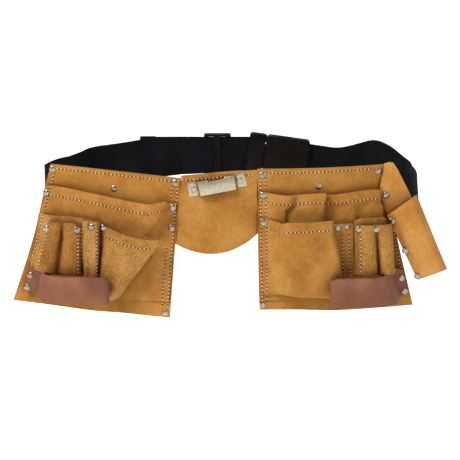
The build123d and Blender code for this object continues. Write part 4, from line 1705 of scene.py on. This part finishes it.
@dataclass
class HammerHolder:
    """A rough strap from the pouch's top corner down to a rolled sleeve that takes a hammer handle."""

    plot: Plot = RIGHT
    corner: Spot = (190.0, 68.0)
    tilt: float = 24.5

    def build(self, finish: Finishes) -> list[Piece]:
        """Model the strap, the sleeve and their rivets."""
        rows = [
            [(184, -3.8, 5.6), (188.5, -5.0, 6.8), (193, -5.8, 7.0), (197.5, -5, 6.4)],
            [(183.2, 8, 6.8), (190, 7.5, 7.2), (197, 7, 7.2), (204.5, 6, 6.8)],
            [(178.5, 30, 6.9), (190, 28, 8.0), (202, 26, 8.4), (214, 24, 7.6)],
            [(183, 52, 7.0), (196, 50, 9.0), (210, 48, 9.4), (225, 46, 8.0)],
            [(190, 74, 7.0), (204, 72, 8.2), (218, 70, 8.4), (234, 68, 7.2)],
            [(204, 92, 6.8), (215, 90, 7.0), (227, 88, 7.0), (240, 85, 6.8)],
        ]
        strap = Sheet("hammer_strap_leather", rows, thick=2.3, uneven=0.7, uneven_size=16, seed=40.0).build(
            self.plot, finish.sleeve, finish.edge
        )
        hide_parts("hammer_strap")
        plot = self.plot.turned(*self.corner, self.tilt)
        ring = [
            (-3.0, 19.5), (0.5, 23.0), (6, 29), (14, 33.6), (24, 35.2), (34, 34.4), (42, 30.2),
            (47.2, 24.0), (46.6, 18.2), (40, 13.6), (28, 11.6), (16, 11.8), (7, 13.4), (1, 16.2),
            (-3.4, 17.2),
        ]
        net = []
        for t in (0.0, 0.08, 0.3, 0.6, 0.9, 1.0):
            row = []
            for u, w in ring:
                share = (u + 4) / 50
                top = 1.0 - 8.5 * share - 0.3 * (w - 18)
                bottom = 111.0 + 4.5 * share - 0.27 * (w - 18)
                row.append(
                    (
                        u * (1.0 - 0.10 * t) + 2.5 * t,
                        top + (bottom - top) * t,
                        22 + (w - 22) * (1.0 - 0.1 * t),
                    )
                )
            net.append(row)
        sleeve = Sheet(
            "hammer_sleeve_leather", net, thick=2.3, pitch=2.0, uneven=0.5, uneven_size=26, seed=42.0
        ).build(plot, finish.sleeve, finish.edge)
        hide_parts("hammer_sleeve")
        seam = Rivet(height=2.0).build(
            "hammer_sleeve_rivet_caps", plot, ((-1.2, 9.5), (-0.6, 60.0), (0.6, 104.0)), [sleeve]
        )
        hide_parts("hammer_sleeve_rivets")
        cap = Rivet().build("hammer_strap_rivet_cap", self.plot, ((187.5, 42.0),), [strap])
        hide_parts("hammer_strap_rivet")
        for piece in (seam, cap):
            dress(piece, finish.nickel)
        for piece in (strap, sleeve, seam, cap):
            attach(piece, "hammer_holder")
        return [strap, sleeve, seam, cap]


# ---- the studio --------------------------------------------------------------------------------
@dataclass
class Studio:
    """A pale floor, soft light from the upper left, and the camera."""

    lens: float = 120.0
    eye: Knot = (0.0, -2.242, 0.510)
    aim: Knot = (0.0, -0.095, -0.065)
    floor: float = -0.62

    def build(self) -> None:
        """Set out the floor, the lights and the camera."""
        scene = bpy.context.scene
        scene.view_settings.view_transform = "Standard"
        deselect()
        bpy.ops.mesh.primitive_circle_add(
            vertices=64, radius=30.0, fill_type="NGON", location=(0, 0, self.floor)
        )
        ground = bpy.context.active_object
        ground.name = "studio_floor"
        r = Recipe("matt_white_paper")
        where = r.add("TexCoord").outputs["Object"]
        tint = r.blend(r.noise(where, 300.0), srgb("#FBFBFB"), srgb("#FFFFFF"))
        # the sweep glows towards the horizon and is left to the lamps under the belt
        far = r.add("VectorMath", {0: where}, operation="LENGTH").outputs["Value"]
        glow = r.level(far, 0.5, 4.0, 0.42, 1.0)
        r.feed(
            r.shader,
            {
                "Base Color": tint,
                "Roughness": 0.95,
                "Emission Color": srgb("#FFFFFF"),
                "Emission Strength": glow,
            },
        )
        dress(ground, r.material)
        world = bpy.data.worlds.new("studio_air")
        scene.world = world
        world.use_nodes = True
        world.node_tree.nodes["Background"].inputs["Color"].default_value = (1, 1, 1, 1)
        world.node_tree.nodes["Background"].inputs["Strength"].default_value = 0.22
        for name, place, size, power in (
            ("key", (-1.5, -1.7, 2.2), 0.9, 104.0),
            ("fill", (2.2, -2.2, 0.9), 2.0, 19.0),
            ("back", (-0.6, 2.2, 1.8), 1.6, 26.0),
        ):
            lamp = bpy.data.lights.new(name, "AREA")
            lamp.size, lamp.energy = size, power
            holder = bpy.data.objects.new(name, lamp)
            scene.collection.objects.link(holder)
            holder.location = place
            holder.rotation_euler = (Vector(self.aim) - Vector(place)).to_track_quat("-Z", "Y").to_euler()
        camera = bpy.data.objects.new("camera", bpy.data.cameras.new("camera"))
        scene.collection.objects.link(camera)
        camera.data.lens, camera.data.sensor_width = self.lens, 36.0
        camera.location = self.eye
        camera.rotation_euler = (Vector(self.aim) - Vector(self.eye)).to_track_quat("-Z", "Y").to_euler()
        scene.camera = camera


def main() -> None:
    """Build the belt."""
    finish = Finishes()
    belt = WebbingBelt()
    made = [belt.band(finish), belt.tail(finish), *belt.hardware(finish)]
    made += CentrePanel().build(finish)
    for pouch in (right_pouch(), left_pouch()):
        made += pouch.build(finish)
    made += HammerHolder().build(finish)
    for piece in made:
        LOG.info("%s: %d faces", piece.name, len(piece.data.polygons))
    Studio().build()


if __name__ == "__main__":
    logging.basicConfig(level=logging.INFO)
    main()
